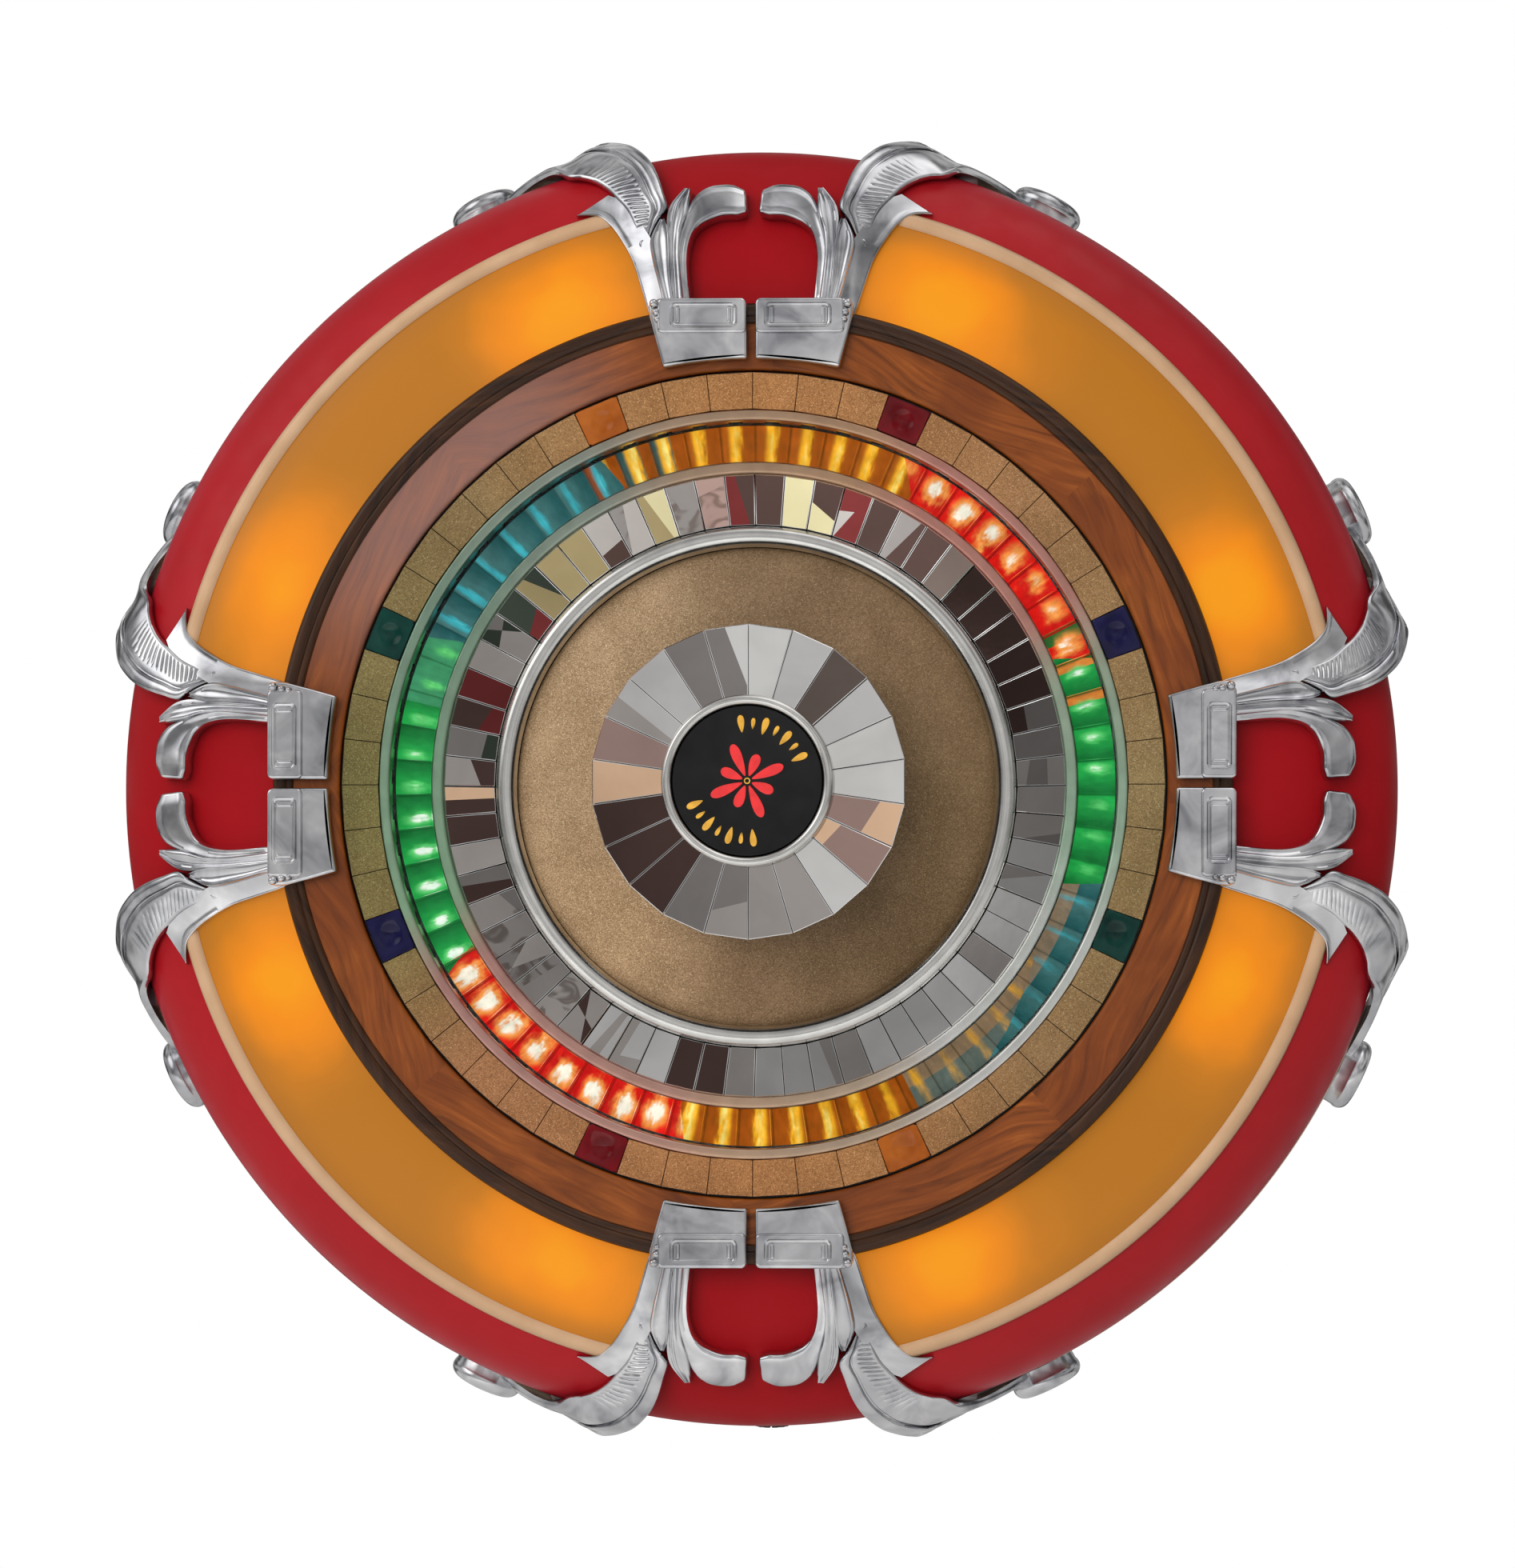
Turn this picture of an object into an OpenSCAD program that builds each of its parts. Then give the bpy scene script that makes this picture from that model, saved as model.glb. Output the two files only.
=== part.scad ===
// A round jukebox wall speaker, about 32 inches across, on a red bowl of a cabinet.
// Rings of tiles, glass and mirror surround a loudspeaker, and a wheel of coloured
// gels turns behind the glass. Pieces are drawn with the wall at z = 0 and the room
// towards +z, then faced() turns them so that the wall is the plane y = 0 and z is up.

/* [Cabinet] */
// Radius of the cabinet at its widest plane
cabinet_r = 397.5; // [394:0.5:402]
// Distance from the wall to the widest plane
cabinet_depth = 165; // [160:1:175]
// How much smaller the cabinet's radius is at the wall
back_taper = 12; // [8:1:16]
// Rise from the widest plane to the flange under the wood ring
face_rise = 49; // [47:0.5:51]
// Thickness of the cabinet's shell
shell_t = 3; // [2:0.5:4]
// Half the angle of each solid part of the face, between two glowing panels
pilaster_deg = 11.3; // [11:0.1:11.8]
// Depth of the recess behind the back panel
back_recess = 16; // [14:1:18]
// Thickness of the back panel
back_panel_t = 6; // [4:0.5:7]

/* [Wall rails] */
// Length of each rail that is screwed to the wall
rail_len = 480; // [460:10:500]
// Width of each rail
rail_w = 45; // [38:1:50]
// Distance between the wall screws, side to side
wall_hole_dx = 400; // [380:10:420]
// Distance between the wall screws, up and down
wall_hole_dz = 300; // [280:10:320]
// Radius of the holes for the wall screws
wall_hole_r = 4; // [3:0.5:5]

/* [Plastic panels] */
// How far the panels stand proud of the cabinet
panel_proud = 2.8; // [2.8:0.1:3.6]
// Thickness of the panels
panel_t = 2.5; // [1.5:0.1:2.5]
// Angle at which each panel starts, from the middle of the solid part
panel_deg = 10.6; // [10.2:0.1:10.8]
// How far the red panel's skirt reaches back from the widest plane
skirt = 22; // [18:1:24]
// Radius of the cream bead between the amber and the red panel
bead_r = 358; // [354:0.5:361]
// Width of the cream bead
bead_w = 10.4; // [9:0.1:12]
// Height of the cream bead
bead_h = 3.4; // [2.6:0.1:4]
// How far the strip behind the red panel stands proud of the cabinet
strip_proud = 5.9; // [5.1:0.1:7]
// Angle at which each strip starts, under the castings' straps
strip_deg = 19.5; // [19.5:0.5:21]

/* [Wood ring] */
// Outer radius of the wood ring
wood_r = 291.7; // [290:0.1:293]
// Radius of the wood ring's bore
wood_bore_r = 253.5; // [253:0.1:255]
// Height of the wood ring
wood_h = 15; // [14:0.5:16]

/* [Tile ring] */
// Number of tiles in the ring, in which one of each seven is coloured glass
tile_n = 56; // [49:7:63]
// Outer radius of the tiles
tile_r = 250; // [248:0.5:251]
// Inner radius of the tiles
tile_bore_r = 227.8; // [227.6:0.1:230]
// Thickness of the tiles
tile_t = 3; // [2:0.5:4]
// Joint between two tiles
tile_joint = 0.5; // [0.3:0.1:1]

/* [Glass ring] */
// Number of glass blocks in the ring
block_n = 63; // [56:1:70]
// Outer radius of the glass blocks
block_r = 221.2; // [220:0.1:221.4]
// Inner radius of the glass blocks
block_bore_r = 201.9; // [201.7:0.1:203]
// Height of a glass block at its crown
block_h = 8.2; // [7:0.2:9]
// Height of a block's rounded crown
block_crown = 2.8; // [2:0.1:3.4]

/* [Mirror ring] */
// Number of mirror tiles
mirror_n = 64; // [56:1:72]
// Outer radius of the mirror tiles
mirror_r = 194.5; // [193:0.5:195]
// Inner radius of the mirror tiles
mirror_bore_r = 160.5; // [160.5:0.5:163]
// Drop of the mirror tiles from their outer to their inner edge
mirror_drop = 11; // [9:0.5:12]
// Thickness of the mirror tiles
mirror_t = 3; // [2:0.5:4]
// Radius of the round trim's section
trim_r = 6; // [5:0.5:6.2]

/* [Centre] */
// Outer radius of the gold dish
dish_r = 147.4; // [146:0.2:147.6]
// Rise of the gold dish, if it were whole to its middle
dish_rise = 27; // [23:1:30]
// Radius of the sound opening in the dish
throat_r = 66; // [60:1:70]
// Radius of the floating mirror disc
disc_r = 94.5; // [90:0.5:98]
// Distance from the flange's plane to the disc's mirror face
disc_out = 38.5; // [36:0.5:42]
// Number of mirror wedges on the disc
wedge_n = 22; // [18:1:26]
// Outer radius of the medallion's ring
medal_r = 51.4; // [48:0.2:54]
// Height of the medallion's ring
medal_h = 10.4; // [8:0.2:12]

/* [Castings] */
// Height of a casting's branches above the panels
casting_h = 14; // [13:0.25:15]
// Height of a casting's foot above the flange's plane
foot_h = 22; // [20.5:0.5:24]
// Angle of the scroll from the middle of its pair
scroll_deg = 25.7; // [25:0.1:26.5]
// Radius of the scroll
scroll_r = 23; // [20:0.5:24]
// Height of the scroll above the cabinet's side
scroll_h = 18; // [16:0.5:20]
// Distance of the scroll's eye behind the widest plane
scroll_back = 47; // [44:1:50]

/* [Colour wheel] */
// Outer radius of the colour wheel's rim
wheel_r = 232; // [230:0.2:233]
// Thickness of the colour wheel's rim
wheel_t = 2.5; // [2:0.1:2.8]
// Radius of a guide roller in its groove
roller_r = 11.5; // [10.5:0.1:12]
// Radius of the drive wheel's tyre
tyre_r = 11.2; // [10:0.1:12]
// Gap between wheels that roll on each other
roll_gap = 0.1; // [0.05:0.05:0.2]
// Radial clearance of a turning shaft in its bore
run_gap = 0.05; // [0.03:0.01:0.08]

/* [Loudspeaker] */
// Radius of the hole in the baffle
baffle_hole_r = 132; // [128:1:134]
// Outer radius of the loudspeaker's flange
speaker_r = 153; // [150:1:156]
// Width of the cone's surround
surround_w = 10; // [8:0.5:11]
// Depth of the basket from its flange to the magnet
basket_depth = 80; // [76:1:82]
// Outer radius of the magnet
magnet_r = 58; // [52:1:62]
// Radius of the voice coil
coil_r = 25.2; // [24.6:0.1:25.4]

/* [Volume control] */
// Radius of the volume knob
knob_r = 11; // [9:0.5:13]
// Length of the volume knob
knob_len = 14; // [12:0.5:15]
// Distance of the volume control from the wall
knob_z = 70; // [60:1:80]

/* [Hidden] */
$fn = 96;

// Small gap between pieces that only lie beside each other
gap = 0.3;
// Levels: the widest plane, and the flange that carries the wood ring
rim_z = cabinet_depth;
flange_z = rim_z + face_rise;
// Bore of the flange, which clears the motor, and the drums that stand under it
motor_r = 17.5;
motor_place_r = wheel_r + tyre_r + roll_gap;
flange_bore_r = motor_place_r + motor_r + 1.2;
drum_t = 8;
drum_z = back_recess + back_panel_t + gap;
inner_drum_r = 186;
// Levels of the carriers in the face, measured down from the flange
carrier_drop = 9;
ledge_drop = 6.5;
mirror_floor_drop = 24;
baffle_drop = 46;
baffle_t = 12;
baffle_z = flange_z - baffle_drop;
baffle_top_z = baffle_z + baffle_t;
light_floor_z = flange_z - 94;
light_floor_t = 3;
tile_z = flange_z + 5;
block_z = flange_z - ledge_drop + gap;
wheel_z = flange_z - 21;
gel_t = 1;
// Trim on both sides of the glass ring
trim_edge = 0.3;
outer_trim_r = tile_bore_r - trim_edge;
inner_trim_bore_r = mirror_r + 1.4;
// Panels
panel_r = cabinet_r + panel_proud;
panel_rise = face_rise + panel_proud;
strip_r = cabinet_r + strip_proud;
bead_web = 2;
// Steps that a rounded outline is drawn in
dome_steps = 20;
side_steps = 6;
// The amplifier's voice coil gap, and how far the cone may move
pole_r = coil_r - 1.5;
plate_bore_r = coil_r + 1;
cone_t = 1.5;
coil_t = 0.8;
// Screws
screw_r = 2;
scroll_screw_r = 2.4;
screw_fit = 0.15;
knob_shaft_r = 3;
// Place of the terminals on the back panel, over the hole for the wires
terminal_x = -120;
terminal_y = -240;

// A point of the face's curve that falls from the wood ring to a largest radius, at angle t
function dome(top_r, rise, t) = [wood_r + (top_r - wood_r) * cos(t), rim_z + rise * sin(t)];
function dome_t(top_r, r) = acos((r - wood_r) / (top_r - wood_r));
function dome_line(top_r, rise, t0, t1) =
    [for (i = [0:dome_steps]) dome(top_r, rise, t0 + (t1 - t0) * i / dome_steps)];
// Radius of the cabinet's side at a distance from the wall
function side_r(z) = cabinet_r - back_taper * pow(1 - z / rim_z, 2);
function side_line(out) =
    [for (i = [0:side_steps]) [side_r(rim_z * i / side_steps) + out, rim_z * i / side_steps]];
function reversed(v) = [for (i = [len(v) - 1:-1:0]) v[i]];
// A place in a casting, counted from the wood ring's bore
function from_bore(d) = wood_bore_r + d;
function polar(r, a) = [r * cos(a), r * sin(a)];

module faced() rotate([90, 0, 0]) children();

module ring(r0, r1, z0, z1) {
    difference() {
        translate([0, 0, z0]) cylinder(r = r1, h = z1 - z0);
        translate([0, 0, z0 - 1]) cylinder(r = r0, h = z1 - z0 + 2);
    }
}

// Turns a flat outline through the angles a0 to a1
module sweep(a0, a1) rotate([0, 0, a0]) rotate_extrude(angle = a1 - a0) children();

// The four arcs between the solid parts of the face
module each_arc() {
    for (q = [0:3]) rotate([0, 0, 90 * q]) children();
}

// A round bar between two points
module bar(a, b, r) {
    d = b - a;
    translate(a) rotate([0, acos(d[2] / norm(d)), atan2(d[1], d[0])]) cylinder(r = r, h = norm(d));
}

// A flat tile with straight edges, its length along +x
module tile(r0, r1, n, joint, t) {
    w0 = r0 * tan(180 / n) - joint / 2;
    w1 = r1 * tan(180 / n) - joint / 2;
    linear_extrude(height = t) polygon([[r0, -w0], [r1, -w1], [r1, w1], [r0, w0]]);
}

// Cabinet

module back_screw_places() {
    for (i = [0:7]) rotate([0, 0, 22.5 + 45 * i])
        translate([side_r(drum_z) - shell_t - 7, 0, 0]) children();
}

module rail_screw_places() {
    for (y = [-1, 1], x = [-1, 1])
        translate([x * (rail_len / 2 - 9), y * wall_hole_dz / 2, 0]) children();
}

module wall_screw_places() {
    for (y = [-1, 1], x = [-1, 1])
        translate([x * wall_hole_dx / 2, y * wall_hole_dz / 2, 0]) children();
}

module scroll_places() {
    for (q = [0:3], s = [-1, 1]) rotate([0, 0, 90 * q + s * scroll_deg])
        translate([0, 0, rim_z - scroll_back]) rotate([0, 90, 0]) children();
}

module cabinet_shell() {
    inner = concat(
        [for (p = side_line(-shell_t)) p],
        dome_line(cabinet_r - shell_t, face_rise - shell_t, 0, 90)
    );
    outer = concat(side_line(0), dome_line(cabinet_r, face_rise, 4.5, 90));
    color("firebrick") faced() difference() {
        rotate_extrude() {
            polygon(concat(outer, [[flange_bore_r, flange_z], [flange_bore_r, flange_z - shell_t]],
                reversed(inner)));
            translate([side_r(drum_z) - shell_t - 12, drum_z]) square([13, shell_t]);
        }
        each_arc() sweep(pilaster_deg, 90 - pilaster_deg)
            translate([wood_r + 4, rim_z - skirt]) square([cabinet_r - wood_r + 20, face_rise + skirt + 20]);
        back_screw_places() translate([0, 0, drum_z - 1]) cylinder(r = screw_r + screw_fit, h = 6);
        scroll_places() translate([0, 0, cabinet_r - 20]) cylinder(r = scroll_screw_r + screw_fit, h = 30);
        translate([0, 0, knob_z]) rotate([90, 0, 0]) translate([0, 0, cabinet_r - 40])
            cylinder(r = 5 + screw_fit, h = 50);
        translate([-9, -cabinet_r - 5, -1]) cube([18, 40, 9]);
    }
}

module back_panel() {
    color("tan") faced() difference() {
        translate([0, 0, back_recess]) cylinder(r = side_r(back_recess) - shell_t - gap - 0.2, h = back_panel_t);
        back_screw_places() translate([0, 0, 0]) cylinder(r = screw_r + screw_fit, h = 40);
        rail_screw_places() cylinder(r = screw_r + screw_fit, h = 40);
        wall_screw_places() cylinder(r = wall_hole_r, h = 40);
        for (i = [-4:4]) translate([i * 22 - 4, -60, back_recess - 1]) cube([8, 120, back_panel_t + 2]);
        translate([terminal_x, terminal_y - 22, back_recess - 1]) cylinder(r = 8, h = back_panel_t + 2);
    }
}

module panel_screw() {
    difference() {
        union() {
            cylinder(r = screw_r, h = back_panel_t + 4);
            translate([0, 0, -2]) cylinder(r = 4, h = 2);
        }
        translate([-5, -0.5, -3]) cube([10, 1, 1.8]);
    }
}

module panel_screws() {
    color("goldenrod") faced() {
        back_screw_places() translate([0, 0, back_recess]) panel_screw();
        rail_screw_places() translate([0, 0, back_recess + back_panel_t]) mirror([0, 0, 1]) panel_screw();
    }
}

module hanger_rails() {
    color("dimgray") faced() difference() {
        for (y = [-1, 1]) translate([-rail_len / 2, y * wall_hole_dz / 2 - rail_w / 2, 0])
            cube([rail_len, rail_w, back_recess]);
        for (y = [-1, 1]) translate([-rail_len / 2 + 30, y * wall_hole_dz / 2 - rail_w / 2 + 4, 4])
            cube([rail_len - 60, rail_w - 8, back_recess]);
        wall_screw_places() translate([0, 0, -1]) cylinder(r = wall_hole_r, h = 40);
        rail_screw_places() translate([0, 0, 3]) cylinder(r = screw_r + screw_fit, h = 40);
    }
}

module outer_drum() {
    color("ivory") faced()
        ring(flange_bore_r, flange_bore_r + drum_t, drum_z, flange_z - shell_t);
}

module inner_drum() {
    color("ivory") faced()
        ring(inner_drum_r - drum_t, inner_drum_r, drum_z, flange_z - mirror_floor_drop);
}

module light_floor() {
    color("white") faced() difference() {
        ring(inner_drum_r, flange_bore_r, light_floor_z, light_floor_z + light_floor_t);
        for (i = [0:7]) rotate([0, 0, 45 * i])
            translate([224, 14, 0]) cylinder(r = 3, h = flange_z);
    }
}

module baffle_board() {
    color("burlywood") faced() difference() {
        translate([0, 0, baffle_z]) cylinder(r = inner_drum_r - drum_t, h = baffle_t);
        translate([0, 0, baffle_z - 1]) cylinder(r = baffle_hole_r, h = baffle_t + 2);
        speaker_bolt_places() cylinder(r = screw_r + screw_fit, h = flange_z);
    }
}

// Wood ring, with a double bead round its edge

module wood_ring() {
    bead = 4.8;
    small_bead = 2.6;
    field_h = wood_h - 2.4;
    color("sienna") faced() rotate_extrude() {
        polygon([[wood_bore_r, flange_z], [wood_r - 1, flange_z], [wood_r - 1, flange_z + field_h - 3],
            [wood_r - 2 * bead, flange_z + field_h - 0.6], [wood_r - 12, flange_z + field_h - 0.6],
            [wood_r - 12.6, flange_z + field_h], [wood_bore_r + 2, flange_z + field_h - 3],
            [wood_bore_r, flange_z + field_h - 5]]);
        translate([wood_r - bead, flange_z + wood_h - bead]) circle(r = bead);
        translate([wood_r - bead, flange_z]) square([bead, wood_h - bead]);
        translate([wood_r - 2 * bead - 0.4, flange_z + wood_h - small_bead - 0.7]) circle(r = small_bead);
    }
}

// Tile ring

module tile_carrier() {
    color("black") faced() difference() {
        rotate_extrude() polygon([
            [block_r - 2, flange_z - carrier_drop], [flange_bore_r - gap, flange_z - carrier_drop],
            [flange_bore_r - gap, flange_z], [tile_r + 1, flange_z], [tile_r + 1, tile_z],
            [outer_trim_r, tile_z], [outer_trim_r, flange_z - ledge_drop],
            [block_r - 2, flange_z - ledge_drop]
        ]);
        roller_places() translate([0, 0, flange_z - carrier_drop - 1]) cylinder(r = screw_r, h = 7);
    }
}

// One tile of each seven is glass, and its colour goes round by the list blue, red, amber, green
function tile_colour(i) = (i - 3) % 7 == 0 ? ((i - 3) / 7) % 4 : -1;

module tiles_of(colour) {
    for (i = [0:tile_n - 1]) if (tile_colour(i) == colour)
        rotate([0, 0, (i + 0.5) * 360 / tile_n]) translate([0, 0, tile_z])
            tile(tile_bore_r + 0.2, tile_r, tile_n, tile_joint, tile_t);
}

module glass_tiles_of(colour) {
    dimple_r = 30;
    dimple = 1.1;
    difference() {
        tiles_of(colour);
        for (i = [0:tile_n - 1]) if (tile_colour(i) == colour)
            rotate([0, 0, (i + 0.5) * 360 / tile_n])
                translate([(tile_r + tile_bore_r) / 2, 0, tile_z + tile_t + dimple_r - dimple])
                    sphere(r = dimple_r);
    }
}

module gold_tiles() {
    color("darkkhaki") faced() tiles_of(-1);
}

module blue_tiles() {
    color("navy") faced() glass_tiles_of(0);
}

module red_tiles() {
    color("darkred") faced() glass_tiles_of(1);
}

module amber_tiles() {
    color("darkorange") faced() glass_tiles_of(2);
}

module green_tiles() {
    color("darkslategray") faced() glass_tiles_of(3);
}

// Trim round both edges of the glass ring, and the heavy round one at the dish

module trim_rings() {
    outer_w = outer_trim_r - block_r - gap;
    inner_w = block_bore_r - gap - inner_trim_bore_r;
    outer_top = tile_z + tile_t - 1;
    inner_top = block_z + block_h + 0.4;
    dish_z = flange_z - 17.5;
    color("silver") faced() rotate_extrude() {
        translate([block_r + gap + outer_w / 2, outer_top - outer_w / 2]) circle(r = outer_w / 2);
        translate([block_r + gap, flange_z - ledge_drop])
            square([outer_w, outer_top - outer_w / 2 - flange_z + ledge_drop]);
        translate([inner_trim_bore_r + inner_w / 2, inner_top - inner_w / 2]) circle(r = inner_w / 2);
        translate([inner_trim_bore_r, flange_z - ledge_drop])
            square([inner_w, inner_top - inner_w / 2 - flange_z + ledge_drop]);
        intersection() {
            translate([dish_r + 0.7 + trim_r, dish_z]) circle(r = trim_r);
            translate([dish_r, dish_z - 4]) square([2 * trim_r + 2, 2 * trim_r]);
        }
    }
}

// Glass blocks: each is a wedge of the ring under a crown that is round about a radial line

module glass_blocks() {
    half_w = block_r * tan(180 / block_n);
    crown_r = (half_w * half_w + block_crown * block_crown) / (2 * block_crown);
    color("honeydew") faced() for (i = [0:block_n - 1])
        rotate([0, 0, 90 + (i + 0.5) * 360 / block_n]) intersection() {
            translate([0, 0, block_z]) tile(block_bore_r, block_r, block_n, 0.3, block_h);
            translate([block_bore_r - 1, 0, block_z + block_h - crown_r]) rotate([0, 90, 0])
                cylinder(r = crown_r, h = block_r - block_bore_r + 2);
        }
}

// Mirror ring: tiles on a sloped carrier that drops towards the dish

mirror_slope = atan(mirror_drop / (mirror_r - mirror_bore_r));
mirror_top_z = flange_z - 3;

module mirror_carrier() {
    seat = mirror_t / cos(mirror_slope) + gap;
    step_r = mirror_r + 0.7;
    floor_z = flange_z - mirror_floor_drop;
    shelf_z = flange_z - 21.5;
    color("black") faced() rotate_extrude() polygon([
        [dish_r + 0.4, floor_z], [wheel_bore_r - 4, floor_z], [wheel_bore_r - 4, flange_z - 10.5],
        [block_bore_r + 2, flange_z - 10.5], [block_bore_r + 2, flange_z - ledge_drop],
        [step_r, flange_z - ledge_drop], [step_r, mirror_top_z - seat],
        [mirror_bore_r, mirror_top_z - mirror_drop - seat],
        [mirror_bore_r - 1, shelf_z], [dish_r + 0.4, shelf_z]
    ]);
}

module mirror_tiles() {
    long = (mirror_r - mirror_bore_r) / cos(mirror_slope);
    color("gainsboro") faced() for (i = [0:mirror_n - 1])
        rotate([0, 0, 90 + (i + 0.5) * 360 / mirror_n]) translate([mirror_r, 0, mirror_top_z])
            rotate([0, -mirror_slope, 0]) translate([-long, 0, -mirror_t]) mirror_tile(long);
}

module mirror_tile(long) {
    w0 = mirror_bore_r * tan(180 / mirror_n) - 0.25;
    w1 = mirror_r * tan(180 / mirror_n) - 0.25;
    linear_extrude(height = mirror_t) polygon([[0, -w0], [long, -w1], [long, w1], [0, w0]]);
}

// Gold dish, which rises towards the sound opening behind the floating disc

function dish_z(r) = flange_z - 21.5 + dish_rise * (1 - pow(r / dish_r, 2));
dish_t = 2;
post_place_r = 80;
dish_line = [for (i = [0:12]) let(r = dish_r + (throat_r - dish_r) * i / 12) [r, dish_z(r)]];

module post_places() {
    for (i = [0:3]) rotate([0, 0, 45 + 90 * i]) translate([post_place_r, 0, 0]) children();
}

module gold_dish() {
    color("darkgoldenrod") faced() difference() {
        rotate_extrude() {
            polygon(concat(dish_line, reversed([for (p = dish_line) [p[0], p[1] - dish_t]])));
            translate([dish_r - 2.4, baffle_top_z]) square([2.4, dish_z(dish_r) - baffle_top_z - 0.5]);
            translate([throat_r, dish_z(throat_r) - 5]) square([3, 5 - 0.4]);
        }
        post_places() translate([0, 0, baffle_top_z]) cylinder(r = screw_r + screw_fit, h = 80);
    }
}

module grille_cloth() {
    color("black") faced() translate([0, 0, dish_z(throat_r) - 6.2]) cylinder(r = throat_r + 6, h = 1);
}

module cloth_ring() {
    color("peru") faced() difference() {
        ring(throat_r - 1, throat_r + 7, dish_z(throat_r) - 12, dish_z(throat_r) - 6.3);
    }
}

// Floating disc, on four posts

disc_face_z = flange_z + disc_out;
board_t = 6.5;
board_z = disc_face_z - mirror_t - board_t;
post_r = 4;
nut_h = 3;

module disc_posts() {
    foot_z = dish_z(post_place_r - post_r) + gap;
    under_z = dish_z(post_place_r + post_r) - dish_t - gap;
    color("silver") faced() post_places() {
        translate([0, 0, foot_z]) cylinder(r = post_r, h = board_z - foot_z);
        translate([0, 0, under_z - nut_h - 1]) cylinder(r = screw_r, h = foot_z - under_z + nut_h + 2);
        translate([0, 0, under_z - nut_h]) cylinder(r = post_r, h = nut_h);
    }
}

module mirror_board() {
    color("black") faced() translate([0, 0, board_z]) cylinder(r = disc_r - 1.5, h = board_t);
}

module mirror_wedges() {
    color("gainsboro") faced() for (i = [0:wedge_n - 1]) rotate([0, 0, 90 + (i + 0.5) * 360 / wedge_n])
        translate([0, 0, disc_face_z - mirror_t])
            tile(medal_r - 5.4, disc_r * cos(180 / wedge_n), wedge_n, 0.4, mirror_t);
}

module medallion_disc() {
    color("black") faced() translate([0, 0, disc_face_z - mirror_t])
        cylinder(r = medal_r - 6.4, h = mirror_t + medal_h - 2.4);
}

module medallion_ring() {
    w = 6;
    color("silver") faced() rotate_extrude() {
        translate([medal_r - w, disc_face_z + 0.1]) square([w, medal_h - w / 2]);
        translate([medal_r - w / 2, disc_face_z + 0.1 + medal_h - w / 2]) circle(r = w / 2);
    }
}

// Plastic panels, the bead between them and the strip at their back edge

module amber_panels() {
    t0 = dome_t(panel_r, bead_r - bead_web / 2 - gap);
    outer = dome_line(panel_r, panel_rise, t0, 89.8);
    inner = dome_line(panel_r - panel_t, panel_rise - panel_t, t0, 89.8);
    color("orange") faced() each_arc() sweep(panel_deg, 90 - panel_deg)
        polygon(concat(outer, reversed(inner)));
}

module red_panels() {
    edge_r = bead_r + bead_web / 2 + gap;
    t1 = dome_t(panel_r, edge_r);
    outer = dome_line(panel_r, panel_rise, 0, t1);
    inner = dome_line(panel_r - panel_t, panel_rise - panel_t, 0, dome_t(panel_r - panel_t, edge_r));
    foot_z = rim_z - skirt + gap;
    color("crimson") faced() each_arc() sweep(panel_deg, 90 - panel_deg)
        polygon(concat([[panel_r, foot_z]], outer, reversed(inner), [[panel_r - panel_t, foot_z]]));
}

bead_t = dome_t(panel_r, bead_r);
bead_tilt = -atan(panel_rise * cos(bead_t) / ((panel_r - wood_r) * sin(bead_t)));
bead_round = (bead_w * bead_w / 4 + bead_h * bead_h) / (2 * bead_h);
bead_lift = 0.4;

module bead_section(out) {
    translate(dome(panel_r, panel_rise, bead_t)) rotate(bead_tilt) intersection() {
        translate([0, bead_lift + bead_h - bead_round]) circle(r = bead_round + out);
        translate([-bead_w, bead_lift - out]) square([2 * bead_w, bead_w]);
    }
}

module cream_beads() {
    color("wheat") faced() each_arc() sweep(14, 76) {
        bead_section(0);
        translate(dome(panel_r, panel_rise, bead_t)) rotate(bead_tilt)
            translate([-bead_web / 2 + 0.1, -8]) square([bead_web - 0.2, 8 + bead_lift + 0.1]);
    }
}

module edge_strips() {
    h = 14;
    strip_z = rim_z - skirt - gap - h;
    seat_r = cabinet_r + gap;
    color("antiquewhite") faced() each_arc() sweep(strip_deg, 90 - strip_deg) {
        translate([seat_r, strip_z + 1.5]) square([strip_r - seat_r - 1.5, h - 1.5]);
        translate([seat_r, strip_z]) square([strip_r - seat_r - 3, h]);
        translate([strip_r - 3, strip_z + 3]) square([3, h - 6]);
        translate([strip_r - 3, strip_z + h - 3]) circle(r = 3);
        translate([strip_r - 3, strip_z + 3]) circle(r = 3);
    }
}

// Castings. Each pair is one casting and its mirror image. A casting is drawn for the right
// of the top pair: x to the right of the pair's middle, y outwards along it. Its branches
// are bands that lie on the face. A band is a list of rows, and a row runs across it:
// [x, inset] of the far edge and of the near edge, then the height of both above the
// panels. The inset is counted in from the cabinet's radius.

foot_arc_r = 155;
hook_x = 2.5;
rest_h = casting_h / 14;
// Room under the castings: over the wood ring and the strip, and under the arm's wide flats
seat_gap = 0.5;
arm_gap = 1.6;
over_base = seat_gap - panel_proud;
over_strip = strip_r - cabinet_r + seat_gap;
// Where the points of a section lie across a band, and how much they rise or fall there
flat_section = [[0, -2.5], [0.04, -0.6], [0.4, 0.2], [0.74, 0.2], [0.78, -1.6], [0.83, 0.6], [0.93, 0.6], [1, -2]];
round_section = [[0, -4.5], [0.18, -1.2], [0.5, 0.2], [0.82, -1.2], [1, -4.5]];
hook_section = [[0, -5], [0.07, -1.6], [0.3, 0], [0.7, 0], [0.93, -1.6], [1, -5]];
fin_section = [[0, -2], [0.06, 0], [0.4, -0.8], [1, 0]];
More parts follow.
